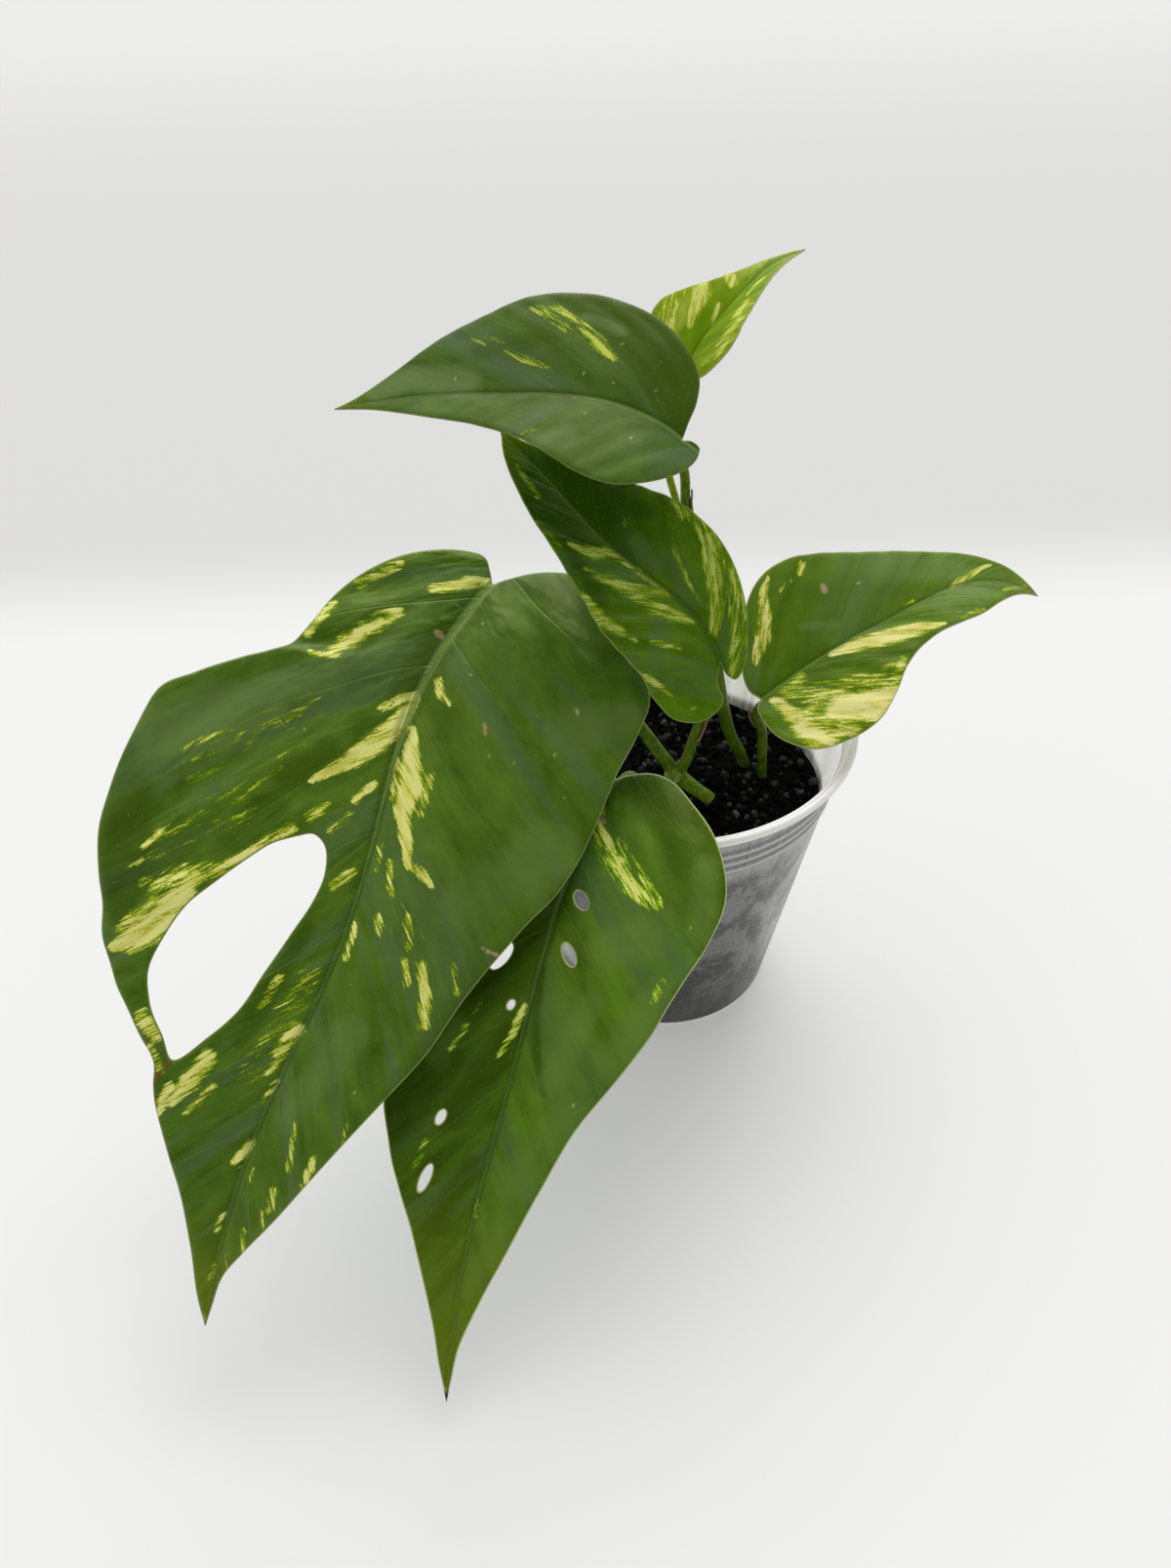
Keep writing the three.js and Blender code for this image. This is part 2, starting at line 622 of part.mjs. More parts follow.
// Course of root k from a stem's lower end, spread evenly round it and drooping outwards
function rootCourse(end, k, turn, reach) {
  const a = (2 * Math.PI * (k + turn)) / ROOT_COUNT;
  const spread = reach * (0.7 + 0.5 * hash(k, 7));
  const drop = ROOT_DROP * (0.7 + 0.5 * hash(k, 3));
  return [0, 0.35, 0.7, 1].map((s) => [
    end[0] + spread * Math.sin(s * 1.4) * Math.cos(a + s * 0.5),
    end[1] + spread * Math.sin(s * 1.4) * Math.sin(a + s * 0.5),
    end[2] + 2 - drop * s ** 1.3,
  ]);
}

// A rooted stem piece, and the larger copy of it that makes its hole in the soil
function rootedStem(parts, end, turn, reach, grow) {
  let solid = null;
  const join = (geometry) => {
    const piece = toSolid(geometry);
    solid = solid ? solid.add(piece) : piece;
  };
  for (const { course, radii, steps } of parts) join(tube(course, radii.map((r) => r + grow), 8, steps));
  for (let k = 0; k < ROOT_COUNT; k++) {
    join(tube(rootCourse(end, k, turn, reach), [ROOT_RADIUS + grow, ROOT_RADIUS * 0.7 + grow], 5, 5));
  }
  return solid;
}

function stemParts() {
  return [
    { course: STUB, radii: STUB_RADII, steps: 4 },
    { course: BURIED_STEM, radii: BURIED_RADII, steps: 6 },
    { course: SHOOT, radii: SHOOT_RADII, steps: 16 },
  ];
}

function buildStems() {
  const front = rootedStem(stemParts(), BURIED_STEM[3], 0.2, FRONT_ROOT_SPREAD, 0)
    .add(toSolid(ball(NODE, NODE_RADIUS)))
    .add(toSolid(ball(FORK, FORK_RADIUS)));
  add('stem_front', toGeometry(front), STEM_GREEN, 0.5);
  const rearParts = [{ course: REAR_STEM, radii: REAR_STEM_RADII, steps: 5 }];
  add('stem_rear', toGeometry(rootedStem(rearParts, REAR_STEM[2], 0.6, REAR_ROOT_SPREAD, 0)), STEM_GREEN, 0.5);
  const frontHole = rootedStem(stemParts(), BURIED_STEM[3], 0.2, FRONT_ROOT_SPREAD, HOLE_CLEAR)
    .add(toSolid(ball(NODE, NODE_RADIUS + HOLE_CLEAR)));
  const rearHole = rootedStem(rearParts, REAR_STEM[2], 0.6, REAR_ROOT_SPREAD, HOLE_CLEAR);
  return [toGeometry(frontHole), toGeometry(rearHole)];
}

// Points of a petiole, from its stem or the soil to just under its blade's base
function petioleCourse(name, sheets) {
  const petiole = PETIOLES[name];
  const sheet = sheets[petiole.leaf];
  const { along, normal, centre } = sheet.frame(0);
  const end = centre.clone()
    .addScaledVector(normal, -(BLADE / 2 + sheet.leaf.keel + CLEAR + sheet.leaf.petiole))
    .addScaledVector(along, sheet.leaf.petiole * MEET);
  const course = [...petiole.course, end.toArray()];
  if (petiole.from) {
    const origin = new THREE.Vector3(...petiole.from);
    if (petiole.lean) origin.add(new THREE.Vector3(petiole.lean[0], petiole.lean[1], 0));
    const start = new THREE.Vector3(...petiole.course[0]).sub(origin);
    start.setLength(petiole.fromRadius + CLEAR).add(origin);
    course.unshift(start.toArray());
  }
  return course;
}

function buildPetioles(sheets) {
  const holes = [];
  for (const [name, petiole] of Object.entries(PETIOLES)) {
    const course = petioleCourse(name, sheets);
    const radii = [petiole.radius, petiole.radius, LEAVES[petiole.leaf].petiole];
    add(name, tube(course, radii, 10, 12), STEM_GREEN, 0.45);
    if (!petiole.from) {
      const [foot, next] = toVectors(course.slice(0, 2));
      const deeper = foot.clone().add(foot.clone().sub(next).setLength(HOLE_DEPTH));
      const wide = petiole.radius + HOLE_CLEAR;
      holes.push(tube([deeper.toArray(), ...course.slice(0, 3)], [wide, wide], 10, 8));
    }
  }
  return holes;
}

// Dry sheath: a thin curved strip that stands along one side of a petiole or of the shoot
function buildSheath(name, sheets) {
  const { along, from, to, side, span, flare } = SHEATHS[name];
  const points = along === 'shoot' ? SHOOT : petioleCourse(along, sheets);
  const hold = along === 'shoot' ? SHOOT_RADII[2] : PETIOLES[along].radius;
  const curve = new THREE.CatmullRomCurve3(toVectors(points), false, 'centripetal');
  const [rows, columns] = [6, 5];
  const positions = [];
  const triangles = [];
  const place = (i, j, layer) => (layer * (rows + 1) + i) * (columns + 1) + j;
  for (const layer of [0, 1]) {
    for (let i = 0; i <= rows; i++) {
      const share = i / rows;
      const t = from + (to - from) * share;
      const centre = curve.getPointAt(t);
      const tangent = curve.getTangentAt(t);
      const east = new THREE.Vector3(1, 0, 0).addScaledVector(tangent, -tangent.x).normalize();
      const north = tangent.clone().cross(east);
      const narrow = 1 - 0.75 * share ** 2;
      const radius = hold + CLEAR + 0.15 + flare * share + layer * SHEATH_THICKNESS;
      for (let j = 0; j <= columns; j++) {
        const a = THREE.MathUtils.degToRad(side + span * narrow * (j / columns - 0.5));
        const p = centre.clone()
          .addScaledVector(east, radius * Math.cos(a))
          .addScaledVector(north, radius * Math.sin(a));
        positions.push(p.x, p.y, p.z);
      }
    }
  }
  const quad = (a, b, c, d) => triangles.push(a, b, c, a, c, d);
  for (let i = 0; i < rows; i++) {
    for (let j = 0; j < columns; j++) {
      quad(place(i, j, 1), place(i, j + 1, 1), place(i + 1, j + 1, 1), place(i + 1, j, 1));
      quad(place(i, j, 0), place(i + 1, j, 0), place(i + 1, j + 1, 0), place(i, j + 1, 0));
    }
    quad(place(i, 0, 0), place(i, 0, 1), place(i + 1, 0, 1), place(i + 1, 0, 0));
    quad(place(i, columns, 0), place(i + 1, columns, 0), place(i + 1, columns, 1), place(i, columns, 1));
  }
  for (let j = 0; j < columns; j++) {
    quad(place(0, j, 0), place(0, j + 1, 0), place(0, j + 1, 1), place(0, j, 1));
    quad(place(rows, j, 0), place(rows, j, 1), place(rows, j + 1, 1), place(rows, j + 1, 0));
  }
  add(name, geometryOf(positions, triangles), 0x8a6a4a, 0.8);
}

function buildLeaves(sheets) {
  const openings = { leaf_split: [SPLIT_OPENING], leaf_low: LOW_OPENINGS.map(ellipse) };
  for (const [name, sheet] of Object.entries(sheets)) {
    let solid = toSolid(blade(sheet));
    for (const outline of openings[name] ?? []) solid = solid.subtract(cutter(sheet, outline));
    add(name, toGeometry(solid), LEAF_GREEN, 0.4);
  }
}

const sheets = Object.fromEntries(Object.entries(LEAVES).map(([name, leaf]) => [name, new Sheet(leaf)]));
buildPot();
buildLeaves(sheets);
const stemHoles = buildStems();
const petioleHoles = buildPetioles(sheets);
buildSoil([...stemHoles, ...petioleHoles]);
for (const name of Object.keys(SHEATHS)) buildSheath(name, sheets);

export default plant;
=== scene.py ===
"""A potted variegated Epipremnum pinnatum: six marbled leaves on their stalks in a translucent cup of dark soil.

Lengths in the tables are millimetres in the part's own frame, and MM turns them into metres.
"""
import math

import bmesh
import bpy
import numpy as np
from mathutils import Matrix, Vector, noise
from mathutils.geometry import delaunay_2d_cdt


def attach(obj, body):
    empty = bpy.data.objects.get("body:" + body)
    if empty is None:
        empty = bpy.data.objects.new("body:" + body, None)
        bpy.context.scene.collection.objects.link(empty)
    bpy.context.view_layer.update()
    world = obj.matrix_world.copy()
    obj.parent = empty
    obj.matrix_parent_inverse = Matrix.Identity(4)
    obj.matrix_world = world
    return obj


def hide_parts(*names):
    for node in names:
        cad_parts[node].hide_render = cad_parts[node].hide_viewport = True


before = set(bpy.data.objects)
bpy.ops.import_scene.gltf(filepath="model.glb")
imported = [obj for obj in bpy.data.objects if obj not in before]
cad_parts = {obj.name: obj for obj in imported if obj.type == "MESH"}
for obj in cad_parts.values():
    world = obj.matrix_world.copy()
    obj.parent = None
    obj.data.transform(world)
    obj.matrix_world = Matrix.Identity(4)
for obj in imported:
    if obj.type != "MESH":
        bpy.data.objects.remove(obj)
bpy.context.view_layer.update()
MM = 0.001

# Camera, as worked back from the picture of 1200 x 1607 pixels
LENS_MM = 27.0
SENSOR_MM = 36.0
CAMERA_AT = (-21.0, -235.0, 266.0)
CAMERA_DOWN = 40.6
CAMERA_ROLL = -2.09

# Light: levels of the room on its dark and bright sides, a wide soft light from above, and the floor's own glow
# and half width, in metres
ROOM_DARK = 0.28
ROOM_BRIGHT = 0.95
ROOM_BRIGHT_SIDE = (-0.45, 0.8, 0.4)
OVERHEAD = 1.65
OVERHEAD_WIDTH = 50.0
OVERHEAD_FROM = (0.25, 0.85, 1.0)
FLOOR_GLOW = 0.52
FLOOR_HALF = 6.0

# Cup and soil, with the gap between them, the spacing of the soil's granules, and where the stalks come out of it
POT_HEIGHT = 86.0
RIM_RADIUS = 47.5
RIM_INNER_RADIUS = 44.8
SHOULDER_RADIUS = 43.9
SHOULDER_HEIGHT = 80.0
BASE_RADIUS = 29.6
WALL = 0.9
FLOOR = 1.6
RING_HEIGHTS = (71.0, 74.0, 77.0)
RING_PITCH = 3.0
RING_PROUD = 0.5
DRAIN_HOLES = 5
DRAIN_RADIUS = 2.6
DRAIN_CIRCLE = 17.0
POT_SEGMENTS = 200
SOIL_HEIGHT = 66.0
SOIL_GAP = 0.3
GRANULE_SPACING = 1.95
STALK_FEET = ((-4.6, -20.5), (21.0, 5.6), (25.5, 1.2), (1.4, -4.8))

# The cup's wall: a small speck, a pale patch, and dark and light tones of each part
WALL_SPECK = (27.1, -30.6, 63.2)
PALE_PATCH = (-25.5, -21.5, 22.0)
SOIL_BEHIND = ((0.016, 0.016, 0.015), (0.150, 0.150, 0.145))
MILK_OVER = ((0.42, 0.42, 0.41), (0.64, 0.64, 0.63))
CLEAR_OUTSIDE = ((0.30, 0.30, 0.295), (0.46, 0.46, 0.45))
CLEAR_INSIDE = ((0.46, 0.455, 0.44), (0.92, 0.91, 0.88))
BLACK = (0.0, 0.0, 0.0)

# Inputs of the Principled shader, by short names
SHADER_INPUTS = {"colour": "Base Color", "rough": "Roughness", "relief": "Normal", "specular": "Specular IOR Level",
                 "tint": "Specular Tint", "scatter": "Subsurface Weight", "scatter_radius": "Subsurface Radius",
                 "scatter_scale": "Subsurface Scale", "glow": "Emission Color", "glow_strength": "Emission Strength"}
GREEN_TINT = (0.95, 1.0, 0.22, 1)
STALK_SKIN = {"specular": 0.3, "tint": GREEN_TINT, "scatter": 0.1, "scatter_radius": (0.5, 1.0, 0.2),
              "scatter_scale": 0.8 * MM}

# Tones that all the leaves share, what turns the pale marbling into its riper tone, and, for leaves that differ,
# the share of the length where the yellowing starts and the rims of the openings
DUST_TONE = (0.20, 0.30, 0.04)
DOT_TONE = (0.55, 0.60, 0.12)
SCAR_TONE = (0.45, 0.31, 0.18)
SEAM_TONE = (0.16, 0.055, 0.02)
THIN_RIB_TONE = (0.085, 0.145, 0.045)
AGED_TONE = (0.17, 0.23, 0.004)
UNDER_TONE = (0.17, 0.28, 0.08)
RIPE_SHADE = (0.84, 0.82, 0.5)
AGED_FROM = {"leaf_low": 0.6}
AGED_FROM_USUAL = 0.85
OPENING_TONES = {"leaf_split": (0.20, 0.27, 0.04), "leaf_low": (0.62, 0.60, 0.28)}

# Relief of the blades: half thickness at the margin and inside it, depth of the groove over the midrib, unevenness,
# the distance that stands for no opening near, and how much of a dot's size is painted
THIN_EDGE = 0.14
THICK = 0.30
GROOVE = 0.28
RIPPLE = 0.35
FAR = 99.0
DOT_WIDTH = 0.62
DOT_LENGTH = 0.7

# Distance between the rows of an even grid of triangles, for a spacing of 1
ROW = 0.866

# the left and the right half are, as painted light and shade. fall: how much lighter the tip and darker the base is
# Leaves. Their shapes are those of the part's source:
# spine: a cubic curve along the midrib, from base to tip, and sway moves it sideways in one, two and three half waves
# roll, fold, curl: turns of the blade at base, middle and tip, in degrees, with curl in radians for each millimetre
# left, right: outline from the stalk round the lobe to the tip, as (distance from the midrib, distance along it)
# bulge: height of the swellings between the veins. crest: two points and the height of a ridge in from the margin
# spacing: distance between the mesh's points
# veins: for each side how far its side veins lean and how much they turn back, and the gap between them
# rib: the midrib's half width at the base
# Their looks are colours, and numbers from 0 to 1 where nothing else is said:
# greens: darkest and lightest green. sheen is a painted reflection, deep a darker green that also paints shade, and
# lit is painted light; clouds, bands and strokes of painted shade and light bring them in. sides: how much lighter
# bands: (side, middle and half width in millimetres of vein foot, strength, tone) of a band along the side veins
# soft: how gently the marbling blends in. marble: its faint, middle and pale tone. vein_tone, rib_tone: of the veins
# skin: gloss, and depth of the relief in millimetres. margin: strength and tone. tip: where it starts, and tone
LEAVES = {
    "leaf_split": {
        "spine": ((-41, 5, 123), (-67, -47, 108), (-83, -88, 69), (-104, -121, 24)),
        "sway": (0, 0, 2.6),
        "roll": (-13, -13, -9),
        "fold": (14, 8, 6),
        "curl": {"left": (0.011, 0.009, 0.006), "right": (0.005, 0.004, 0.004)},
        "left": ((0, 0), (3, -2.5), (8, -6), (14, -9), (20, -9.5), (27, -4.5), (36, 3), (44, 9), (48, 15), (49, 24),
                 (48, 36), (46, 52), (42, 65), (35, 78), (29, 93), (26, 107), (22, 119), (16.5, 134), (11, 147),
                 (5.5, 157), (1.8, 164), (0.8, 170)),
        "right": ((0, 0), (2, -2.6), (5, -5.4), (11, -3.5), (18, 2), (24, 11), (27.5, 20), (28.6, 30), (31, 36.5),
                  (38, 42), (47, 48), (54, 53), (57, 63), (59, 75), (57, 88), (51.5, 98), (48, 105), (41, 113),
                  (31, 122), (26, 126.5), (24, 131), (21.5, 136), (16, 143.5), (10.5, 152), (6.6, 160), (3.2, 169),
                  (1.4, 172.5)),
        "bulge": 1.1,
        "spacing": 0.8,
        "veins": {"left": (0.62, 1.3), "right": (0.8, 0.55), "gap": 21.0},
        "rib": 1.15,
        "greens": ((0.030, 0.088, 0.001), (0.108, 0.225, 0.020)),
        "painted_sheen": (0.095, 0.165, 0.075),
        "sides": (0.08, -0.02),
        "deep_and_shade": (0.034, 0.084, 0.0005),
        "bands": ((1, 22, 7, 0.4, "painted_sheen"), (-1, 74, 12, 0.3, "painted_sheen"), (1, 62, 5, 0.35, "painted_sheen")),
        "fall": 0,
        "painted_lit": (0.150, 0.245, 0.060),
        "soft": 0,
        "marble": ((0.15, 0.27, 0.003), (0.44, 0.52, 0.02), (0.95, 0.94, 0.30)),
        "vein_tone": (0.15, 0.24, 0.06),
        "rib_tone": (0.20, 0.31, 0.07),
        "skin": (0.32, 0.7),
        "margin": (0.6, (0.46, 0.52, 0.18)),
        "tip": (0.992, (0.05, 0.03, 0.01)),
        "crest": ((34, 39), (12, 31), 2.4),
    },
    "leaf_low": {
        "spine": ((-14, -33, 94), (-36, -74, 80), (-47, -98, 38), (-55, -131, 7)),
        "sway": (0, -0.3, 0.8),
        "roll": (-4, -6, -6),
        "fold": (12, 8, 6),
        "curl": {"left": (0.007, 0.005, 0.004), "right": (0.007, 0.005, 0.004)},
        "left": ((0, 0), (3, -2), (8, -3.4), (13, -2.8), (19, 0.8), (26, 6), (31, 12), (34, 18), (34.8, 24),
                 (33.5, 32), (30, 43), (27, 53), (22.5, 63.5), (16.5, 77), (12.5, 92), (8.5, 107), (4.5, 119),
                 (1.6, 128), (0.7, 134)),
        "right": ((0, 0), (3, -2.4), (8, -4), (14, -3.2), (21, 1), (28, 8), (33, 16), (36, 27), (36.5, 40), (34, 54),
                  (30, 68), (25, 82), (19, 94.5), (13, 104.5), (8, 115), (4.5, 124), (2.3, 132), (1, 136)),
        "bulge": 0.9,
        "spacing": 0.72,
        "veins": {"left": (0.7, 1.0), "right": (0.7, 1.0), "gap": 17.0},
        "rib": 0.6,
        "greens": ((0.024, 0.074, 0.0005), (0.118, 0.250, 0.016)),
        "painted_sheen": (0.088, 0.165, 0.062),
        "sides": (0.18, -0.22),
        "deep_and_shade": (0.030, 0.075, 0.0003),
        "bands": ((-1, 2, 8, 0.5, "deep_and_shade"), (1, 36, 14, 0.5, "deep_and_shade"), (-1, 22, 8, 0.3, "painted_sheen"),
                  (-1, 58, 10, 0.3, "painted_sheen")),
        "fall": 0.08,
        "painted_lit": (0.135, 0.250, 0.040),
        "soft": 0.04,
        "marble": ((0.14, 0.31, 0.002), (0.42, 0.62, 0.02), (0.92, 0.95, 0.26)),
        "vein_tone": (0.14, 0.23, 0.05),
        "rib_tone": (0.12, 0.20, 0.04),
        "skin": (0.28, 0.55),
        "margin": (0.95, (0.62, 0.70, 0.28)),
        "tip": (0.978, (0.05, 0.018, 0.01)),
    },
    "leaf_top": {
        "spine": ((2, 0, 159), (-19, 2, 175), (-45, 1, 170), (-70, 1, 168)),
        "sway": (0, 0, 0.5),
        "roll": (-26, -26, -20),
        "fold": (12, 8, 6),
        "curl": {"left": (0.008, 0.006, 0.004), "right": (0.008, 0.006, 0.004)},
        "left": ((0, 0), (-1.2, -2.2), (-0.8, -4.4), (3.5, -4.2), (11, -0.5), (18.5, 7), (22, 15), (21, 22),
                 (17, 29), (12.5, 36), (9, 45), (5.5, 57), (2, 66), (0.8, 71)),
        "right": ((0, 0), (4, 0.4), (10, 0.6), (15.5, 2), (20, 5.5), (24, 11), (26, 18), (26.4, 25), (25, 34),
                  (20, 43), (13.8, 53), (6.4, 63), (1.8, 70)),
        "bulge": 0.15,
        "spacing": 0.55,
        "veins": {"left": (0.9, 1.0), "right": (1.0, 1.0), "gap": 12.0},
        "rib": 0.45,
        "greens": ((0.036, 0.088, 0.004), (0.100, 0.190, 0.026)),
        "painted_sheen": (0.090, 0.150, 0.075),
        "sides": (0.1, 0.0),
        "deep_and_shade": (0.046, 0.100, 0.0005),
        "bands": ((1, -4, 9, 0.9, "deep_and_shade"), (1, 28, 8, 0.4, "painted_sheen")),
        "fall": 0,
        "painted_lit": (0.170, 0.260, 0.085),
        "soft": 0.06,
        "marble": ((0.13, 0.24, 0.006), (0.32, 0.42, 0.02), (0.66, 0.72, 0.10)),
        "vein_tone": (0.13, 0.21, 0.06),
        "rib_tone": (0.15, 0.25, 0.06),
        "skin": (0.15, 0.1),
        "margin": (0.4, (0.30, 0.34, 0.12)),
        "tip": (0.985, (0.22, 0.14, 0.06)),
    },
    "leaf_middle": {
        "spine": ((10, -19, 115), (2, -8, 133), (-25, -3, 142), (-37, 13, 157)),
        "sway": (-0.4, -0.6, 1.0),
        "roll": (-22, -22, -16),
        "fold": (18, 12, 7),
        "curl": {"left": (0.012, 0.010, 0.006), "right": (0.004, 0.004, 0.004)},
        "left": ((0, 0), (2.4, -3.6), (2.8, -8), (6.5, -10), (11, -9.8), (15.5, -7), (17.6, -2.5), (19.6, 6),
                 (20.6, 16), (19, 25), (15, 34), (11.8, 43), (9.4, 53), (6, 61.5), (2.6, 67.5), (0.8, 70)),
        "right": ((0, 0), (0.3, -3), (1.8, -4.8), (4.5, -3), (8, 3), (12, 9.5), (16, 17), (18.3, 24), (18.2, 31),
                  (15.5, 39), (11.5, 48), (7, 57), (3, 65), (1, 69.5)),
        "bulge": 0.5,
        "spacing": 0.5,
        "veins": {"left": (1.0, 1.2), "right": (1.0, 0.9), "gap": 12.0},
        "rib": 0.3,
        "greens": ((0.022, 0.074, 0.0005), (0.105, 0.225, 0.006)),
        "painted_sheen": (0.066, 0.140, 0.045),
        "sides": (0.05, 0.0),
        "deep_and_shade": (0.022, 0.064, 0.0003),
        "bands": ((1, 40, 18, 0.6, "deep_and_shade"), (-1, 48, 12, 0.6, "deep_and_shade")),
        "fall": -0.25,
        "painted_lit": (0.085, 0.165, 0.042),
        "soft": 0.2,
        "marble": ((0.13, 0.25, 0.003), (0.25, 0.37, 0.01), (0.52, 0.60, 0.14)),
        "vein_tone": (0.08, 0.17, 0.03),
        "rib_tone": (0.06, 0.14, 0.02),
        "skin": (0.16, 0.35),
        "margin": (0.6, (0.34, 0.42, 0.08)),
        "tip": (0.990, (0.20, 0.14, 0.05)),
    },
    "leaf_side": {
        "spine": ((22, -9, 97), (46, 2, 104), (70, 20, 119), (96, 21, 104)),
        "sway": (-0.3, 0, -0.7),
        "roll": (22, 22, 16),
        "fold": (14, 9, 6),
        "curl": {"left": (0.010, 0.008, 0.006), "right": (0.010, 0.008, 0.006)},
        "left": ((0, 0), (3, -1.6), (8, -0.6), (15, 5), (22, 12), (26, 20), (26.6, 28), (24, 34.5), (20, 41),
                 (15.5, 49), (11, 58), (8, 68), (5.5, 75.5), (2.4, 80.5)),
        "right": ((0, 0), (1.6, -2.4), (6, -3.4), (11, -3.2), (16, -0.6), (20, 3.6), (22, 11), (21.8, 18), (18, 26),
                  (14, 32), (11, 39), (10, 46), (10.4, 54), (10, 61), (7, 69), (2.6, 77.5), (1, 81)),
        "bulge": 0.3,
        "spacing": 0.52,
        "veins": {"left": (1.0, 0.9), "right": (1.4, 1.6), "gap": 12.0},
        "rib": 0.35,
        "greens": ((0.050, 0.128, 0.001), (0.135, 0.262, 0.012)),
        "painted_sheen": (0.110, 0.205, 0.065),
        "sides": (-0.05, 0.0),
        "deep_and_shade": (0.046, 0.115, 0.0005),
        "bands": ((1, 3, 8, 0.3, "deep_and_shade"), (1, 18, 4, 0.5, "deep_and_shade"), (-1, 30, 14, 0.3, "painted_sheen")),
        "fall": 0,
        "painted_lit": (0.145, 0.250, 0.060),
        "soft": 0.16,
        "marble": ((0.17, 0.30, 0.002), (0.46, 0.54, 0.02), (0.93, 0.87, 0.34)),
        "vein_tone": (0.16, 0.26, 0.05),
        "rib_tone": (0.14, 0.26, 0.03),
        "skin": (0.2, 0.25),
        "margin": (0.8, (0.56, 0.56, 0.22)),
        "tip": (0.975, (0.36, 0.24, 0.12)),
    },
    "leaf_young": {
        "spine": ((5, 27, 163), (11, 34, 174), (22, 40, 181), (34, 49, 182)),
        "sway": (0.4, 0.4, -0.4),
        "roll": (0, 0, 0),
        "fold": (24, 20, 12),
        "curl": {"left": (0.012, 0.010, 0.006), "right": (0.012, 0.010, 0.006)},
        "left": ((0, 0), (4, -0.6), (9, 2.6), (13.6, 6.8), (14.6, 11), (12, 15.6), (7.6, 21), (4.2, 27), (1.8, 34),
                 (0.8, 39.5)),
        "right": ((0, 0), (3, -1.8), (7, -0.6), (11, 4.4), (12.2, 9), (10.5, 14), (8.4, 20), (6, 27), (3.2, 34.5),
                  (1, 40)),
        "bulge": 0.2,
        "spacing": 0.34,
        "veins": {"left": (1.4, 1.2), "right": (1.4, 1.2), "gap": 6.0},
        "rib": 0.2,
        "greens": ((0.125, 0.250, 0.001), (0.310, 0.450, 0.010)),
        "painted_sheen": (0.200, 0.310, 0.030),
        "sides": (0.1, 0.1),
        "deep_and_shade": (0.120, 0.270, 0.0005),
        "bands": ((-1, 9, 3, 0.5, "deep_and_shade"), (1, 12, 3, 0.5, "deep_and_shade"), (-1, 22, 4, 0.5, "deep_and_shade")),
        "fall": 0,
        "painted_lit": (0.54, 0.64, 0.08),
        "soft": 0.22,
        "marble": ((0.26, 0.38, 0.01), (0.46, 0.56, 0.03), (0.80, 0.84, 0.20)),
        "vein_tone": (0.26, 0.38, 0.08),
        "rib_tone": (0.10, 0.22, 0.01),
        "skin": (0.06, 0.2),
        "margin": (0.8, (0.60, 0.58, 0.24)),
        "tip": (0.98, (0.30, 0.22, 0.10)),
    },
}

# Openings through the blades: an outline in the split leaf, and ellipses (x, y, half width, half length, turn)
SPLIT_OPENING = ((16, 73), (12.5, 71.4), (9.6, 73), (8, 78.5), (8.6, 85), (10.6, 92.5), (12.4, 101), (14, 110),
                 (17.5, 117.5), (22.5, 124.5), (27, 120), (32.5, 114.5), (35.6, 108), (35.6, 101), (33.6, 93.5),
                 (29.5, 87), (24.5, 80.5), (20.5, 76))
ROUND_OPENINGS = {
    "leaf_low": ((-4.7, 29.6, 1.4, 2.4, 50), (-5.7, 41.5, 1.35, 2.7, 42), (8.7, 46.2, 1.6, 3.5, -25),
                 (3.9, 55.3, 0.75, 1.15, -20), (12.2, 81.6, 0.95, 1.7, -14), (12, 94.6, 1.05, 3.1, -10)),
}
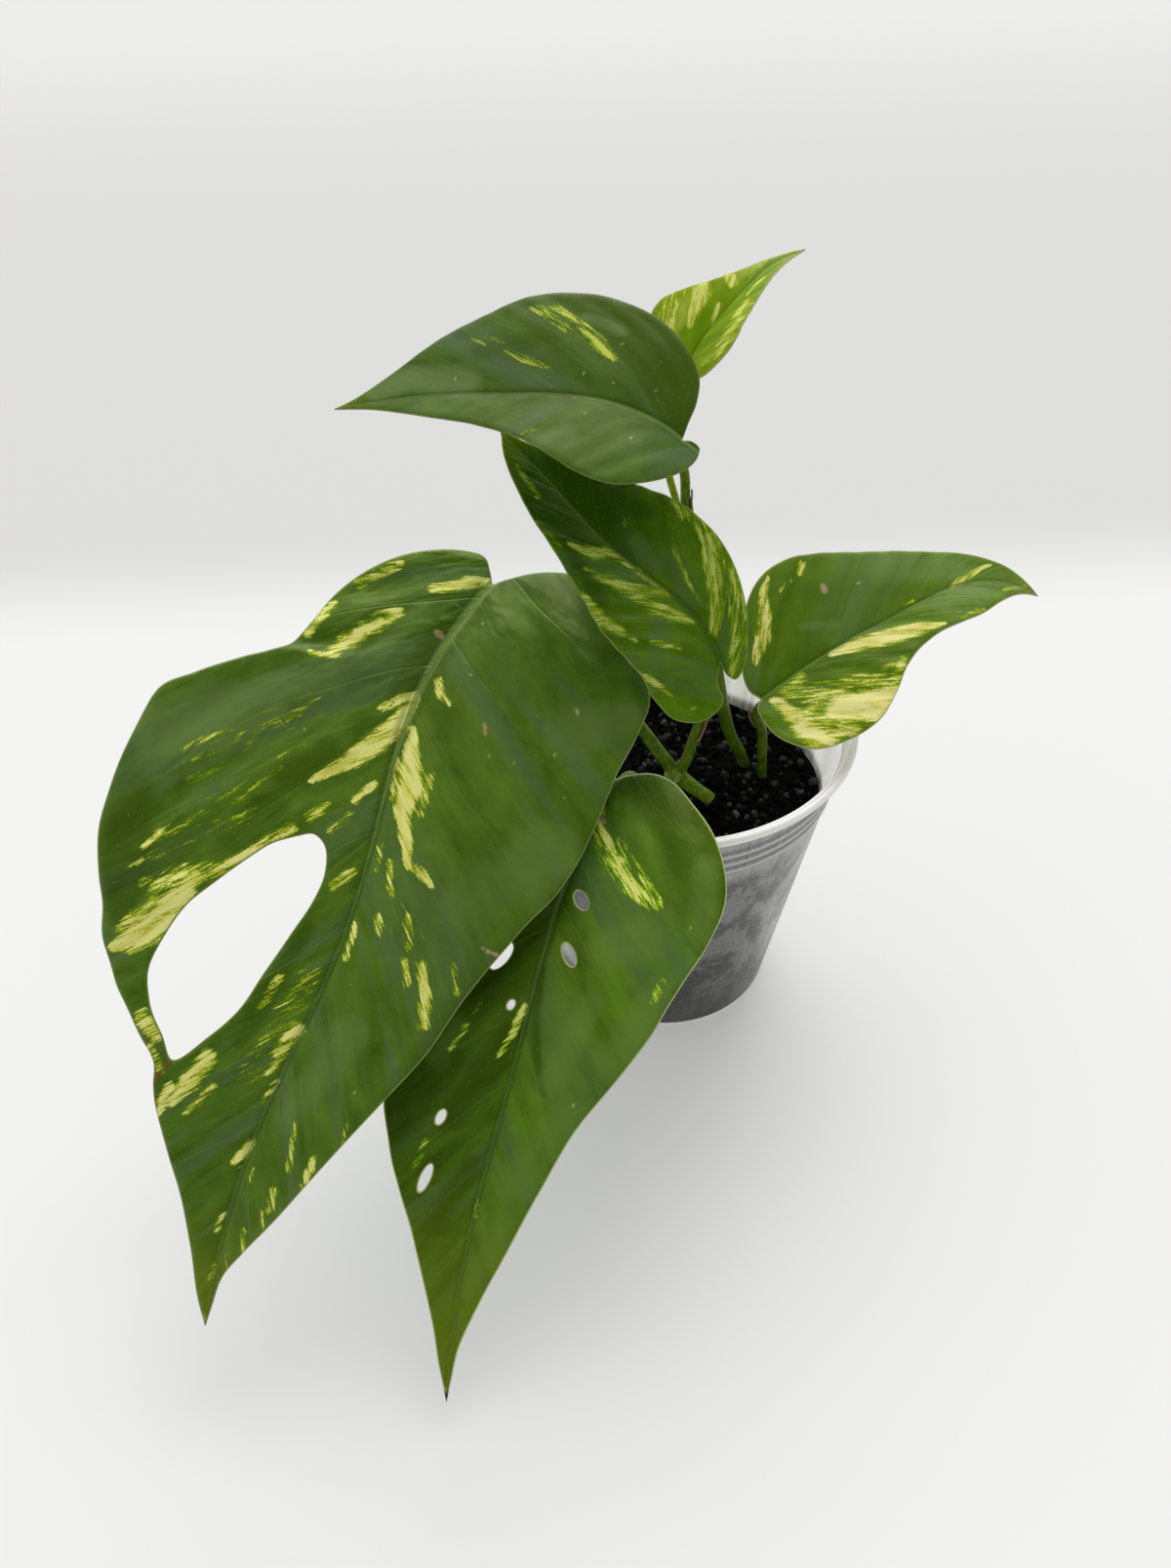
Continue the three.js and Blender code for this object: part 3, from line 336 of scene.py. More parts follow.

# Marbling, placed on the flat blades. A stroke is (strength, (x, y, half width), ...): above a strength of
# about 1 it is solid cream, and below it breaks up into yellow-green streaks.
STROKES = {
    "leaf_split": (
        (1.4, (0, 35, 1.2), (1.5, 42, 2.2), (4.6, 48, 2.5), (8.4, 53, 2.0), (12.6, 57.5, 1.3), (16.5, 61, 0.6)),
        (1.0, (1, 34, 1.2), (3.5, 37.5, 1.5), (6.5, 40.5, 1.0)),
        (1.2, (3, 57, 1.0), (6, 61.5, 1.0)),
        (0.95, (11, 65, 1.2), (14.5, 68.5, 1.2)),
        (0.75, (6, 65, 1.0), (9.5, 69.5, 1.0)),
        (1.15, (19.5, 33.8, 0.9), (25, 35.6, 0.8)),
        (1.3, (1.5, 0.5, 1.6), (5, 4, 2.2), (9.5, 9, 1.6)),
        (0.9, (13.5, 19, 2.4), (17, 25, 3.0), (21.5, 34, 1.8)),
        (1.3, (15, 21.5, 0.8), (17.6, 26.5, 1.5), (20, 31.5, 0.6)),
        (0.82, (19.5, 7.5, 1.4), (24.5, 15.5, 1.6)),
        (0.95, (26.5, 23, 1.5), (27.8, 31, 1.4)),
        (1.1, (17, 71.5, 1.4), (22, 77, 1.6), (28.5, 84, 1.6), (35, 89, 1.9)),
        (1.3, (34.5, 90.5, 2.4), (38, 97, 4.4), (41, 101.5, 4.8), (44.6, 106, 1.6)),
        (0.8, (31, 85, 2.2), (37, 88.5, 3.0), (43, 92, 2.4)),
        (1.05, (28, 120.5, 2.0), (32.5, 118, 2.0)),
        (0.85, (24, 127, 1.2), (28, 123.5, 1.2)),
        (1.25, (15.5, 121.5, 2.0), (17, 127.5, 2.4), (19, 133, 1.1)),
        (1.15, (20.5, 130, 1.3), (21.4, 137, 1.2)),
        (0.85, (12, 127, 1.0), (15.5, 134, 1.0)),
        (1.15, (1, 110.5, 1.8), (2.5, 116, 1.8)),
        (0.9, (2, 118, 0.9), (2.8, 121, 0.8)),
        (1.15, (0, 135.5, 1.2), (1.7, 140.5, 1.2)),
        (0.9, (0.4, 121.5, 0.8), (1.0, 127, 0.8)),
        (0.9, (9, 101.5, 1.2), (10.2, 108.5, 1.2)),
        (0.75, (5, 104, 0.8), (7, 108, 0.8)),
        (1.1, (0.9, 151.5, 0.8), (1.6, 155, 0.8)),
        (0.9, (0.2, 162, 0.7), (1.1, 166, 0.7)),
        (0.85, (44.5, 80.5, 1.1), (46.5, 84.5, 1.0)),
        (0.75, (34, 56, 0.6), (39, 58.5, 0.9), (45, 63.5, 0.6)),
        (0.7, (46.5, 87.5, 0.7), (50, 90.5, 0.7)),
        (0.45, (19, 54.5, 0.9), (24, 58.5, 0.9)),
        (0.5, (23, 60.5, 0.9), (28, 67, 0.8)),
        (0.9, (2.5, 76, 1.2), (5.5, 80.5, 1.2)),
        (1.45, (-2.0, 42.5, 1.0), (-3.8, 49, 2.4), (-5.2, 54.5, 3.3), (-5, 61, 2.3), (-7.6, 67, 1.5),
         (-9.2, 71.5, 1.0)),
        (1.1, (-8.5, 70.5, 1.2), (-12, 72, 1.5), (-15, 73.5, 1.0)),
        (1.1, (-0.8, 50, 0.9), (-1.8, 58.5, 0.9)),
        (0.85, (-9.2, 51.5, 1.2), (-9, 60, 1.2)),
        (1.1, (-3, 29.5, 1.0), (-5.2, 33, 1.2), (-8, 34.5, 0.7)),
        (0.95, (-1.6, 86, 0.8), (-2.2, 93.5, 0.9)),
        (0.8, (-1.8, 69, 0.8), (-2.6, 74, 0.9)),
        (0.95, (-5, 71.5, 0.9), (-6, 76, 1.0), (-7.4, 78.5, 0.8)),
        (0.95, (-12, 81.5, 1.2), (-14.2, 87, 1.2)),
        (0.85, (-6, 83.5, 1.1), (-7.2, 86.5, 1.0)),
        (1.2, (-17.8, 90, 0.9), (-20.8, 95, 1.3), (-23.4, 101.5, 1.2)),
        (1.1, (-14.2, 90.5, 0.8), (-16.4, 94.5, 0.9)),
        (0.65, (-24, 88, 1.0), (-27, 93, 1.0)),
        (1.0, (-7.4, 128.5, 0.6), (-9.6, 137.5, 1.0)),
        (1.0, (-8, 142.5, 1.0), (-9, 146.5, 1.0)),
        (0.7, (-7.4, 147.5, 0.7), (-8.2, 151, 0.6)),
        (1.1, (-14, 133.5, 1.0), (-14.2, 139.5, 1.0)),
        (0.8, (-17.5, 125, 0.7), (-18.2, 129, 0.7)),
        (1.1, (-4.4, 152.5, 0.8), (-6, 157.5, 0.8)),
        (0.9, (-1.8, 158.5, 0.6), (-2.8, 162, 0.6)),
        (0.9, (-2.4, 140, 0.5), (-2.6, 143, 0.5)),
        (0.38, (30, 70, 6.0), (44, 84, 5.0)),
        (0.36, (20, 45, 4.0), (42, 66, 5.0)),
        (0.30, (-10, 82, 6.0), (-22, 98, 5.0)),
        (0.38, (3, 100, 4.0), (6, 122, 4.0)),
    ),
    "leaf_low": (
        (0.85, (-1, 12.5, 1.3), (-5, 15.8, 2.8), (-10, 19.4, 4.0), (-15, 22.6, 3.8), (-20.5, 25.4, 2.2)),
        (1.12, (-6, 16.6, 1.0), (-11, 20.2, 2.3), (-16.5, 24.2, 1.3)),
        (0.7, (-0.8, 7.5, 0.7), (-1.6, 11.5, 0.9)),
        (1.05, (1, 54.5, 0.8), (1.6, 58.5, 1.0), (2.2, 62, 0.9), (3.8, 66, 0.6)),
        (0.9, (12, 62, 0.8), (14.2, 67.5, 0.8)),
        (0.6, (10.2, 56.5, 0.6), (11.8, 61.5, 0.6)),
        (0.9, (-0.2, 96.5, 0.5), (-0.3, 100.5, 0.5)),
        (0.65, (13.6, 87, 0.9), (15, 92.5, 0.9)),
        (0.6, (-27, 40.5, 1.2), (-26, 46, 1.0)),
    ),
    "leaf_top": (
        (0.88, (10.5, 18, 0.9), (13.5, 21.5, 2.0), (17, 25.5, 2.9), (20, 29.5, 2.7), (21.6, 33.5, 1.0)),
        (1.15, (10.6, 19.2, 0.6), (13.6, 22.2, 1.1), (16.6, 24.8, 0.7)),
        (0.78, (6.2, 30.5, 0.6), (8.4, 35, 1.2), (10.6, 38.6, 0.8)),
        (0.68, (13, 39.5, 0.8), (14.2, 42.5, 0.8)),
        (0.66, (12.2, 42.8, 0.6), (13.8, 45.4, 0.6)),
        (0.6, (-10.5, 33, 0.9), (-11.2, 35.5, 0.9)),
    ),
    "leaf_middle": (
        (0.96, (-1.5, 11, 0.7), (-4.5, 16, 2.0), (-6, 20.5, 2.4), (-6.5, 26, 2.0), (-7.2, 31, 2.2),
         (-9.2, 36.5, 0.9)),
        (0.91, (-0.8, 19.5, 1.2), (-4, 24.5, 1.5), (-6, 28.5, 1.2)),
        (1.01, (-0.8, 20.5, 0.9), (-0.5, 27, 1.1), (-0.7, 32.5, 1.1), (-2, 36, 1.4), (-4.5, 37.5, 1.8),
         (-7.6, 43, 0.6)),
        (1.01, (-16, 17.5, 0.7), (-16.6, 23, 1.6), (-17, 27.5, 2.2), (-15.6, 31.5, 1.5), (-14.4, 34, 0.7)),
        (0.81, (-8.4, 8.4, 0.7), (-11, 11.2, 1.1), (-13.6, 14.4, 0.6)),
        (1.06, (-14, -2.4, 0.5), (-16.5, 2.5, 0.8), (-18.6, 6.4, 0.9), (-21, 11, 0.6)),
        (0.96, (-11, -6.6, 0.5), (-9, -6.6, 0.5)),
        (0.76, (-5, 54.5, 0.8), (-4.3, 58, 0.9), (-3.4, 62.5, 0.6)),
        (0.61, (-10, 42.5, 0.9), (-9.4, 51, 0.9)),
        (1.01, (14.5, 21.5, 1.2), (17, 26, 1.7), (17.6, 31, 1.2)),
        (1.06, (1.5, 6.6, 1.2), (5, 10.5, 2.2), (9, 14, 2.4), (12, 18, 2.0), (16, 21.4, 1.4)),
        (0.96, (1.2, -3.6, 1.0), (3.5, 0, 1.6), (6, 4, 1.9), (7.4, 8.4, 0.9)),
        (0.76, (3, 12.5, 0.6), (5, 19, 0.7), (8, 24, 0.7), (10.5, 26.6, 0.6), (14.4, 30.5, 0.5)),
        (0.74, (5, 1, 2.8), (11, 10, 3.4), (16, 20, 3.4), (17.6, 28, 2.4)),
        (0.76, (6, 36.4, 0.8), (7.2, 36.8, 0.7)),
    ),
    "leaf_side": (
        (1.5, (18, 25, 3.0), (17.6, 18, 5.0), (14.5, 12.5, 4.2)),
        (1.3, (19.5, 3.5, 3.4), (14, 3.5, 3.6), (8, 2.8, 2.4), (2.6, 2, 1.6)),
        (0.95, (19.5, 12, 2.4), (17, 7.5, 3.4), (11, 5.5, 2.4)),
        (0.85, (1.6, 10.5, 2.0), (3.6, 6, 2.2), (8, 9, 1.8)),
        (0.85, (9.5, 8.5, 1.8), (13, 12.5, 1.8)),
        (1.0, (11.6, 33, 1.0), (14.6, 28.5, 1.8), (17, 26, 1.4)),
        (0.8, (12, 24.5, 1.0), (11.6, 29.5, 1.0)),
        (1.5, (0.8, 20.5, 0.9), (2, 26, 2.0), (3.6, 31, 2.5), (5.2, 37, 2.5), (6.4, 42, 2.1), (8.6, 48.5, 0.6)),
        (0.95, (9.6, 53.5, 0.8), (9.4, 58, 1.0), (9.2, 61.5, 0.7)),
        (0.85, (3.4, 71, 0.6), (1.2, 76, 0.8), (-1.2, 79.5, 0.6)),
        (1.15, (-24.4, 20.6, 0.6), (-21, 16.6, 1.4), (-16, 13, 1.9), (-12, 9, 2.1), (-8.4, 4.2, 1.3)),
        (0.8, (-23.2, 29.4, 1.4), (-21.4, 28, 1.2)),
        (0.6, (-21, 24.5, 0.9), (-19.4, 21, 0.9)),
        (1.1, (-5.2, 70.4, 0.5), (-3.2, 66, 0.9), (-1.6, 62.4, 1.1), (-0.4, 57.4, 0.9)),
        (0.9, (-1.2, 43.4, 0.5), (-1.0, 46, 0.5)),
        (0.78, (3, 6, 3.0), (10, 12, 5.0), (13, 20, 4.5), (16, 27, 3.0)),
    ),
    "leaf_young": (
        (1.25, (-9.5, 19, 1.3), (-7.4, 16, 2.8), (-6, 12.4, 1.7), (-4.4, 9.2, 0.8)),
        (1.2, (-6.4, 24, 1.4), (-3.8, 22.5, 1.9)),
        (1.15, (-2.4, 16.4, 0.6), (-1.1, 13.6, 0.8), (0, 11.2, 0.5)),
        (1.15, (6, 18.6, 0.9), (6.6, 15, 1.8), (9, 13.6, 1.0)),
        (1.05, (3.5, 27, 0.6), (3.5, 23.5, 0.9), (3.9, 20.6, 0.5)),
        (1.0, (-8.6, 8.6, 1.2), (-7, 6, 1.5)),
        (0.85, (8, 7, 1.7), (11, 8.5, 1.7)),
        (0.95, (4.6, 0.8, 0.7), (9, 4, 1.0), (10.4, 6.6, 0.6)),
        (0.9, (-1.8, 33, 0.5), (-1.6, 29.5, 0.6)),
        (0.75, (-12, 16, 3.0), (-10, 8, 3.4), (-6, 4, 2.4)),
        (0.75, (6, 3, 2.2), (9.5, 8, 3.0), (7.5, 17, 2.4)),
    ),
}

# Soft strokes on the green: painted shade in the leaf's deep tone, and glow, painted light in its lit tone
PAINTED_SHADE_AND_LIGHT = {
    "leaf_split": {
        "painted_shade": ((1.1, (46, 99, 3), (50, 88, 6.5), (53, 76, 5)), (0.8, (14, 54, 3), (22, 62, 3)),
                 (0.8, (3, 17, 2), (4, 36, 2.5)), (0.9, (-34, 6, 5), (-24, 0, 6), (-12, -3, 4)),
                 (0.6, (-30, 90, 4), (-26, 112, 4)), (0.8, (8, 90, 2), (11, 116, 2))),
        "glow": ((1, (29, 49, 4), (40, 55, 7), (52, 62, 5)), (0.7, (18, 40, 3), (32, 47, 3)),
                 (0.8, (9, 15, 2), (12, 28, 2.5)), (0.6, (-38, 58, 6), (-24, 74, 6)),
                 (0.7, (-16, 140, 3), (-6, 158, 2)), (0.7, (-10, 108, 4), (-5, 128, 3)),
                 (0.7, (-46, 20, 4), (-36, 30, 6))),
    },
    "leaf_low": {
        "painted_shade": ((0.9, (-0.9, 46, 0.9), (-2.0, 56, 1.1), (-4.4, 64, 1.1), (-8, 71, 0.8)),
                 (0.8, (2, 60, 3), (10, 80, 3.5)), (0.9, (13, 70, 3), (22, 86, 4)), (0.9, (-20, 4, 4), (-5, 0, 4)),
                 (0.8, (3, 90, 2.5), (8, 104, 2.5))),
        "glow": ((0.9, (-27, 42, 3), (-22, 60, 5)), (0.9, (-20, 34, 5), (-13, 38, 4)),
                 (0.9, (-13, 50, 3), (-9, 68, 3)), (0.8, (-15, 74, 4), (-8, 90, 4)),
                 (0.8, (-7, 100, 2.5), (-2, 116, 1.5)), (0.6, (14, 62, 2), (16, 70, 2.5)),
                 (0.8, (-28, 14, 3), (-32, 28, 3))),
    },
    "leaf_top": {
        "painted_shade": ((0.8, (-1, 26, 2), (0.6, 50, 1.5)), (0.6, (14, 30, 2), (10, 44, 2))),
        "glow": ((1, (3, 48, 4), (5, 58, 3), (1.5, 66, 2)), (0.7, (-12, 26, 3), (-14, 34, 2)),
                 (0.8, (18, 18, 1.6), (20, 24, 1.2))),
    },
    "leaf_middle": {
        "painted_shade": ((1, (-6, 42, 4), (-3, 58, 3)), (1, (4, 42, 4), (4, 58, 3)), (0.8, (-13, 30, 2), (-9, 40, 2)),
                 (0.7, (12, 34, 2), (8, 44, 2))),
        "glow": ((0.9, (-15, 10, 3), (-8, 16, 3)), (0.9, (2, 15, 2.2), (7, 24, 2.5)),
                 (1, (-21, 5, 2.2), (-20.5, 15, 2.4)), (0.9, (3, 26, 2.4), (5, 32, 2))),
    },
    "leaf_side": {
        "painted_shade": ((0.45, (-22, 21, 3), (-14, 28, 3)), (1, (1, 14, 2), (4, 22, 2.4)), (0.9, (7, 24, 1.6), (9, 31, 1.6)),
                 (0.7, (-2, 12, 2), (-1, 20, 2))),
        "glow": ((1, (-12, 44, 4), (-5, 60, 4)), (0.9, (-9, 19, 1), (-5, 26, 1.4)), (0.7, (3, 52, 3), (4, 64, 2))),
    },
    "leaf_young": {
        "painted_shade": ((0.9, (1.5, 6, 1.6), (6, 10, 2.2)), (0.8, (-3, 10, 1), (-2, 18, 1)),
                 (0.9, (2, 22, 1.2), (3, 32, 1))),
        "glow": ((1, (-9, 5, 2), (-7.5, 11, 2.6), (-8, 17, 2)), (0.6, (-4, 24, 1.4), (-2, 30, 1))),
    },
}

# Small marks on the blades (x, y, half width, half length, turn): pale dots, which are painted a little smaller than
# their place in the mesh, and dry tan scars
DOTS = {
    "leaf_split": ((-34.6, 25.2, 0.6, 1.0, 40), (-33.8, 37.4, 0.4, 0.6, 0), (-9.4, 26, 0.35, 0.6, 70),
                   (-5, 12.2, 0.35, 0.55, 50), (-26, 42.6, 0.3, 0.5, 0), (-20.4, 43, 0.3, 0.5, 0),
                   (-38.4, 45.6, 0.25, 0.35, 0), (-16, 118.5, 0.3, 0.5, 0), (3, 10, 0.3, 0.8, 80),
                   (26, 51.4, 0.3, 0.9, 60), (20.6, 51, 0.3, 0.6, 60), (40, 33, 0.3, 0.4, 0)),
    "leaf_low": ((-14.8, 71.4, 0.4, 0.6, 0), (-29.4, 28, 0.3, 0.5, 0)),
    "leaf_top": ((3.8, 49, 0.3, 0.5, 80), (5.4, 23.4, 0.25, 0.5, 80), (4.6, 17.4, 0.3, 0.35, 0),
                 (14.6, 17.1, 0.25, 0.4, 70), (-8.3, 11.6, 0.35, 0.6, 60), (-5, 22.2, 0.25, 0.5, 60),
                 (6.5, 8.9, 0.25, 0.5, 80), (-0.7, 24.6, 0.25, 0.3, 0)),
    "leaf_middle": (),
    "leaf_side": ((-11.6, 37.2, 0.4, 0.5, 0),),
    "leaf_young": (),
}
SCARS = {
    "leaf_split": ((-17.6, 37.6, 0.3, 1.4, 27), (2.4, 18.7, 0.7, 1.2, 70), (-31, 83, 0.22, 2.3, 85)),
    "leaf_low": ((-2, 10.8, 0.3, 1.2, 60),),
    "leaf_top": (),
    "leaf_middle": (),
    "leaf_side": ((-14.6, 29.6, 0.6, 1.2, 70),),
    "leaf_young": (),
}

# Brown seam from the opening of the split leaf to the nib on its margin, as a stroke
SEAMS = {"leaf_split": ((1.2, (22.6, 124.2, 0.35), (24.4, 130, 0.5), (22.0, 137, 0.7)),)}

# Blade thickness, keels under the midribs, stalk radii at the blades, and the courses of stems and stalks,
# as in the part's source
BLADE = 0.7
KEELS = {"leaf_split": 1.5, "leaf_low": 1.2, "leaf_top": 0.9, "leaf_middle": 0.9, "leaf_side": 0.9, "leaf_young": 0.6}
STALK_ENDS = {"leaf_split": 1.6, "leaf_low": 1.4, "leaf_top": 1.1, "leaf_middle": 1.25, "leaf_side": 1.1,
              "leaf_young": 0.85}
NODE = (2.1, -5.2, 71.4)
NODE_RADIUS = 2.9
FORK = (4.6, 7.6, 129.5)
FORK_RADIUS = 1.9
STUB = (NODE, (6.5, -8.5, 69.4), (10.8, -11.8, 67.9))
SHOOT = (NODE, (4.4, -6, 76), (6.2, -6.2, 83), (8.2, -4.8, 91), (7.8, 0, 107), (5.6, 5.6, 122), FORK)
BURIED_STEM = (NODE, (1.2, -4.6, 64), (-1, -3, 54), (-4, -1, 44))
REAR_STEM = ((24.4, 5, 52.4), (23.2, 5, 46), (21, 5, 38))
PETIOLES = {
    "petiole_split": {"leaf": "leaf_split", "from": NODE, "lean": (0, 0), "radius": 1.65, "start": NODE_RADIUS,
                      "course": ((-6.4, -3.6, 85), (-18, 2.5, 101), (-29, 6.6, 111.6), (-36.4, 6.4, 116.8)),
                      "tones": ((0.052, 0.108, 0.002), (0.135, 0.225, 0.016), (0.22, 0.26, 0.09))},
    "petiole_low": {"leaf": "leaf_low", "radius": 1.5,
                    "course": ((-4, -19, 54), (-4.6, -20.5, 68), (-7, -23, 80), (-10.6, -27, 89.4)),
                    "tones": ((0.052, 0.108, 0.002), (0.135, 0.225, 0.016), (0.22, 0.26, 0.09))},
    "petiole_top": {"leaf": "leaf_top", "from": FORK, "lean": (0.8, -0.5), "radius": 1.15, "start": FORK_RADIUS,
                    "course": ((3.9, 6.8, 140), (3, 4.6, 150)),
                    "tones": ((0.045, 0.105, 0.001), (0.105, 0.205, 0.004), (0.2, 0.24, 0.03))},
    "petiole_middle": {"leaf": "leaf_middle", "radius": 1.6,
                       "course": ((23, 7, 54), (21, 5.6, 66), (16.2, -0.6, 80), (12.9, -7.4, 94), (10.8, -13.8, 105)),
                       "tones": ((0.040, 0.088, 0.001), (0.090, 0.165, 0.006), (0.2, 0.26, 0.05))},
    "petiole_side": {"leaf": "leaf_side", "radius": 1.3,
                     "course": ((26.6, 3.2, 54), (25.5, 1.2, 66), (23.9, -2.5, 82), (21.6, -6.4, 91.6)),
                     "tones": ((0.045, 0.098, 0.001), (0.105, 0.185, 0.008), (0.2, 0.26, 0.05))},
    "petiole_young": {"leaf": "leaf_young", "from": FORK, "lean": (-1.4, 1.1), "radius": 0.9, "start": FORK_RADIUS,
                      "course": ((2.2, 9.4, 139), (0.2, 12, 147), (1.4, 18.4, 155.6)),
                      "tones": ((0.28, 0.40, 0.015), (0.46, 0.56, 0.06), (0.6, 0.62, 0.2))},
}

# How the stalks end: the source's gap under a blade, and, in radii, how far a stalk reaches under its midrib,
# how long it tapers there, and how far out of its node or fork's middle it starts
CLEAR = 0.3
MEET = 1.2
TAPER = 3.0
ROOTED = 0.35

# Parts of a stem, as its paint tells them apart, and for each part the mottle's limits and its two tones
GREEN_PART, NODE_PART, CUT_PART, ROOT_PART = range(4)
STEM_PARTS = (
    (NODE_PART, 0.35, 0.65, (0.12, 0.20, 0.02), (0.30, 0.38, 0.10)),
    (CUT_PART, 0.3, 0.7, (0.20, 0.20, 0.07), (0.36, 0.33, 0.15)),
    (ROOT_PART, 0.3, 0.7, (0.30, 0.22, 0.12), (0.50, 0.41, 0.27)),
)
ROOTS = 4
ROOT_DROP = 24

# Dry sheaths: the course they follow, where on it, which way they face and how far round they reach, in degrees
SHEATHS = {
    "sheath_shoot": {"along": "shoot", "from": 0.21, "to": 0.33, "side": -15, "span": 110, "flare": 0.5},
    "sheath_fork": {"along": "petiole_top", "from": 0.16, "to": 0.5, "side": -10, "span": 80, "flare": 0.05},
    "sheath_side": {"along": "petiole_side", "from": 0.76, "to": 0.9, "side": 170, "span": 90, "flare": 0.4},
}


def blend(values, t):
    """Value at share t of a list that is spread evenly from 0 to 1."""
    return np.interp(t, np.linspace(0, 1, len(values)), values)


def unit(vectors):
    return vectors / np.linalg.norm(vectors, axis=-1, keepdims=True)


def lengths_along(line):
    """Distance along a polyline for each of its points."""
    return np.concatenate([[0], np.cumsum(np.linalg.norm(np.diff(line, axis=0), axis=1))])


def closed(loop):
    return np.vstack([loop, loop[:1]])


def smooth_step(low, high, x):
    s = np.clip((x - low) / (high - low), 0, 1)
    return s * s * (3 - 2 * s)


def curve_through(points, step):
    """Centripetal Catmull-Rom curve through points, sampled about every step."""
    p = np.array(points, float)
    p = np.vstack([2 * p[0] - p[1], p, 2 * p[-1] - p[-2]])
    samples = []
    for i in range(1, len(p) - 2):
        a, b, c, d = p[i - 1:i + 3]
        knots = np.cumsum([0] + [max(np.linalg.norm(v), 1e-6) ** 0.5 for v in (b - a, c - b, d - c)])
        count = max(2, int(math.ceil(np.linalg.norm(c - b) / step)))
        for t in knots[1] + (knots[2] - knots[1]) * np.arange(count) / count:
            ab = a + (b - a) * (t - knots[0]) / (knots[1] - knots[0])
            bc = b + (c - b) * (t - knots[1]) / (knots[2] - knots[1])
            cd = c + (d - c) * (t - knots[2]) / (knots[3] - knots[2])
            abc = ab + (bc - ab) * (t - knots[0]) / (knots[2] - knots[0])
            bcd = bc + (cd - bc) * (t - knots[1]) / (knots[3] - knots[1])
            samples.append(abc + (bcd - abc) * (t - knots[1]) / (knots[2] - knots[1]))
    samples.append(p[-2])
    return np.array(samples)


def distance_to_path(points, path):
    """Distance of each point to a polyline, both flat."""
    best = np.full(len(points), 1e9)
    for a, b in zip(path[:-1], path[1:]):
        d = b - a
        s = np.clip(((points - a) @ d) / max(d @ d, 1e-12), 0, 1)
        best = np.minimum(best, np.linalg.norm(points - a - s[:, None] * d, axis=1))
    return best


def inside(points, loop):
    """Which points lie inside a closed flat loop."""
    x, y = points[:, 0], points[:, 1]
    odd = np.zeros(len(points), bool)
    for a, b in zip(loop, np.roll(loop, -1, axis=0)):
        crosses = (a[1] > y) != (b[1] > y)
        with np.errstate(divide="ignore", invalid="ignore"):
            at = (b[0] - a[0]) * (y - a[1]) / (b[1] - a[1]) + a[0]
        odd ^= crosses & (x < at)
    return odd


def ellipse(x, y, half_width, half_length, turn, count=24):
    a = np.linspace(0, 2 * math.pi, count, endpoint=False)
    angle = math.radians(turn)
    u, v = half_width * np.cos(a), half_length * np.sin(a)
    return np.stack([x + u * math.cos(angle) - v * math.sin(angle), y + u * math.sin(angle) + v * math.cos(angle)], 1)


def fill_flat(loop, holes, spacing, lines=(), extra=()):
    """Even triangles over a flat loop with holes, through extra points: returns points and triangles."""
    low, high = loop.min(0), loop.max(0)
    rows = np.arange(low[1], high[1], spacing * ROW)
    grid = []
    for i, y in enumerate(rows):
        xs = np.arange(low[0] + (i % 2) * spacing / 2, high[0], spacing)
        grid.append(np.stack([xs, np.full(len(xs), y)], 1))
    grid = np.vstack(grid)
    keep = inside(grid, loop)
    for hole in holes:
        keep &= ~inside(grid, hole)
    grid = grid[keep]
    for path in [closed(loop), *(closed(hole) for hole in holes), *lines]:
        grid = grid[distance_to_path(grid, path) > spacing * 0.5]
    points, edges = [], []
    for ring in [loop, *holes]:
        start = len(points)
        points.extend(ring)
        edges.extend((start + i, start + (i + 1) % len(ring)) for i in range(len(ring)))
    for line in lines:
        start = len(points)
        points.extend(line)
        edges.extend((start + i, start + i + 1) for i in range(len(line) - 1))
    points = np.vstack([np.array(points), grid, *([extra] if len(extra) else [])])
    result = delaunay_2d_cdt([Vector(p) for p in points], edges, [], 0, 1e-5)
    flat = np.array([tuple(v) for v in result[0]])
    triangles = np.array([f for f in result[2] if len(f) == 3])
    middle = flat[triangles].mean(1)
    good = inside(middle, loop)
    for hole in holes:
        good &= ~inside(middle, hole)
    triangles = triangles[good]
    a, b, c = (flat[triangles[:, i]] for i in range(3))
    turn = (b[:, 0] - a[:, 0]) * (c[:, 1] - a[:, 1]) - (b[:, 1] - a[:, 1]) * (c[:, 0] - a[:, 0])
    triangles[turn < 0] = triangles[turn < 0][:, ::-1]
    return flat, triangles


def border_edges(triangles):
    """Edges that only one triangle has, in that triangle's direction."""
    directed = np.vstack([triangles[:, [0, 1]], triangles[:, [1, 2]], triangles[:, [2, 0]]])
    have = {tuple(e) for e in directed.tolist()}
    return np.array([e for e in directed.tolist() if (e[1], e[0]) not in have])


def ring_faces(rows, columns):
    """Quads between rings of points, each ring closed on itself."""
    faces = []
    for i in range(rows - 1):
        for s in range(columns):
            n = (s + 1) % columns
            faces.append((i * columns + s, i * columns + n, (i + 1) * columns + n, (i + 1) * columns + s))
    return faces


def link(thing):
    bpy.context.scene.collection.objects.link(thing)
    return thing


def mesh_object(name, points, faces):
    mesh = bpy.data.meshes.new(name)
    mesh.from_pydata((np.asarray(points) * MM).tolist(), [], [tuple(face) for face in faces])
    mesh.validate()
    mesh.shade_smooth()
    return link(bpy.data.objects.new(name, mesh))


def give(piece, name, values):
    """Stores one number, or one vector, for each vertex of a piece."""
    values = np.asarray(values, np.float32)
    kind = "FLOAT" if values.ndim == 1 else "FLOAT_VECTOR"
    attribute = piece.data.attributes.new(name, kind, "POINT")
    attribute.data.foreach_set("value" if values.ndim == 1 else "vector", values.ravel())


def place(piece, node, material):
    piece.data.materials.append(material)
    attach(piece, "root")
    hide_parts(node)


def sheet_width(leaf):
    """Reach of a blade from its midrib, on its wider side."""
    return max(p[0] for side in ("left", "right") for p in leaf[side])


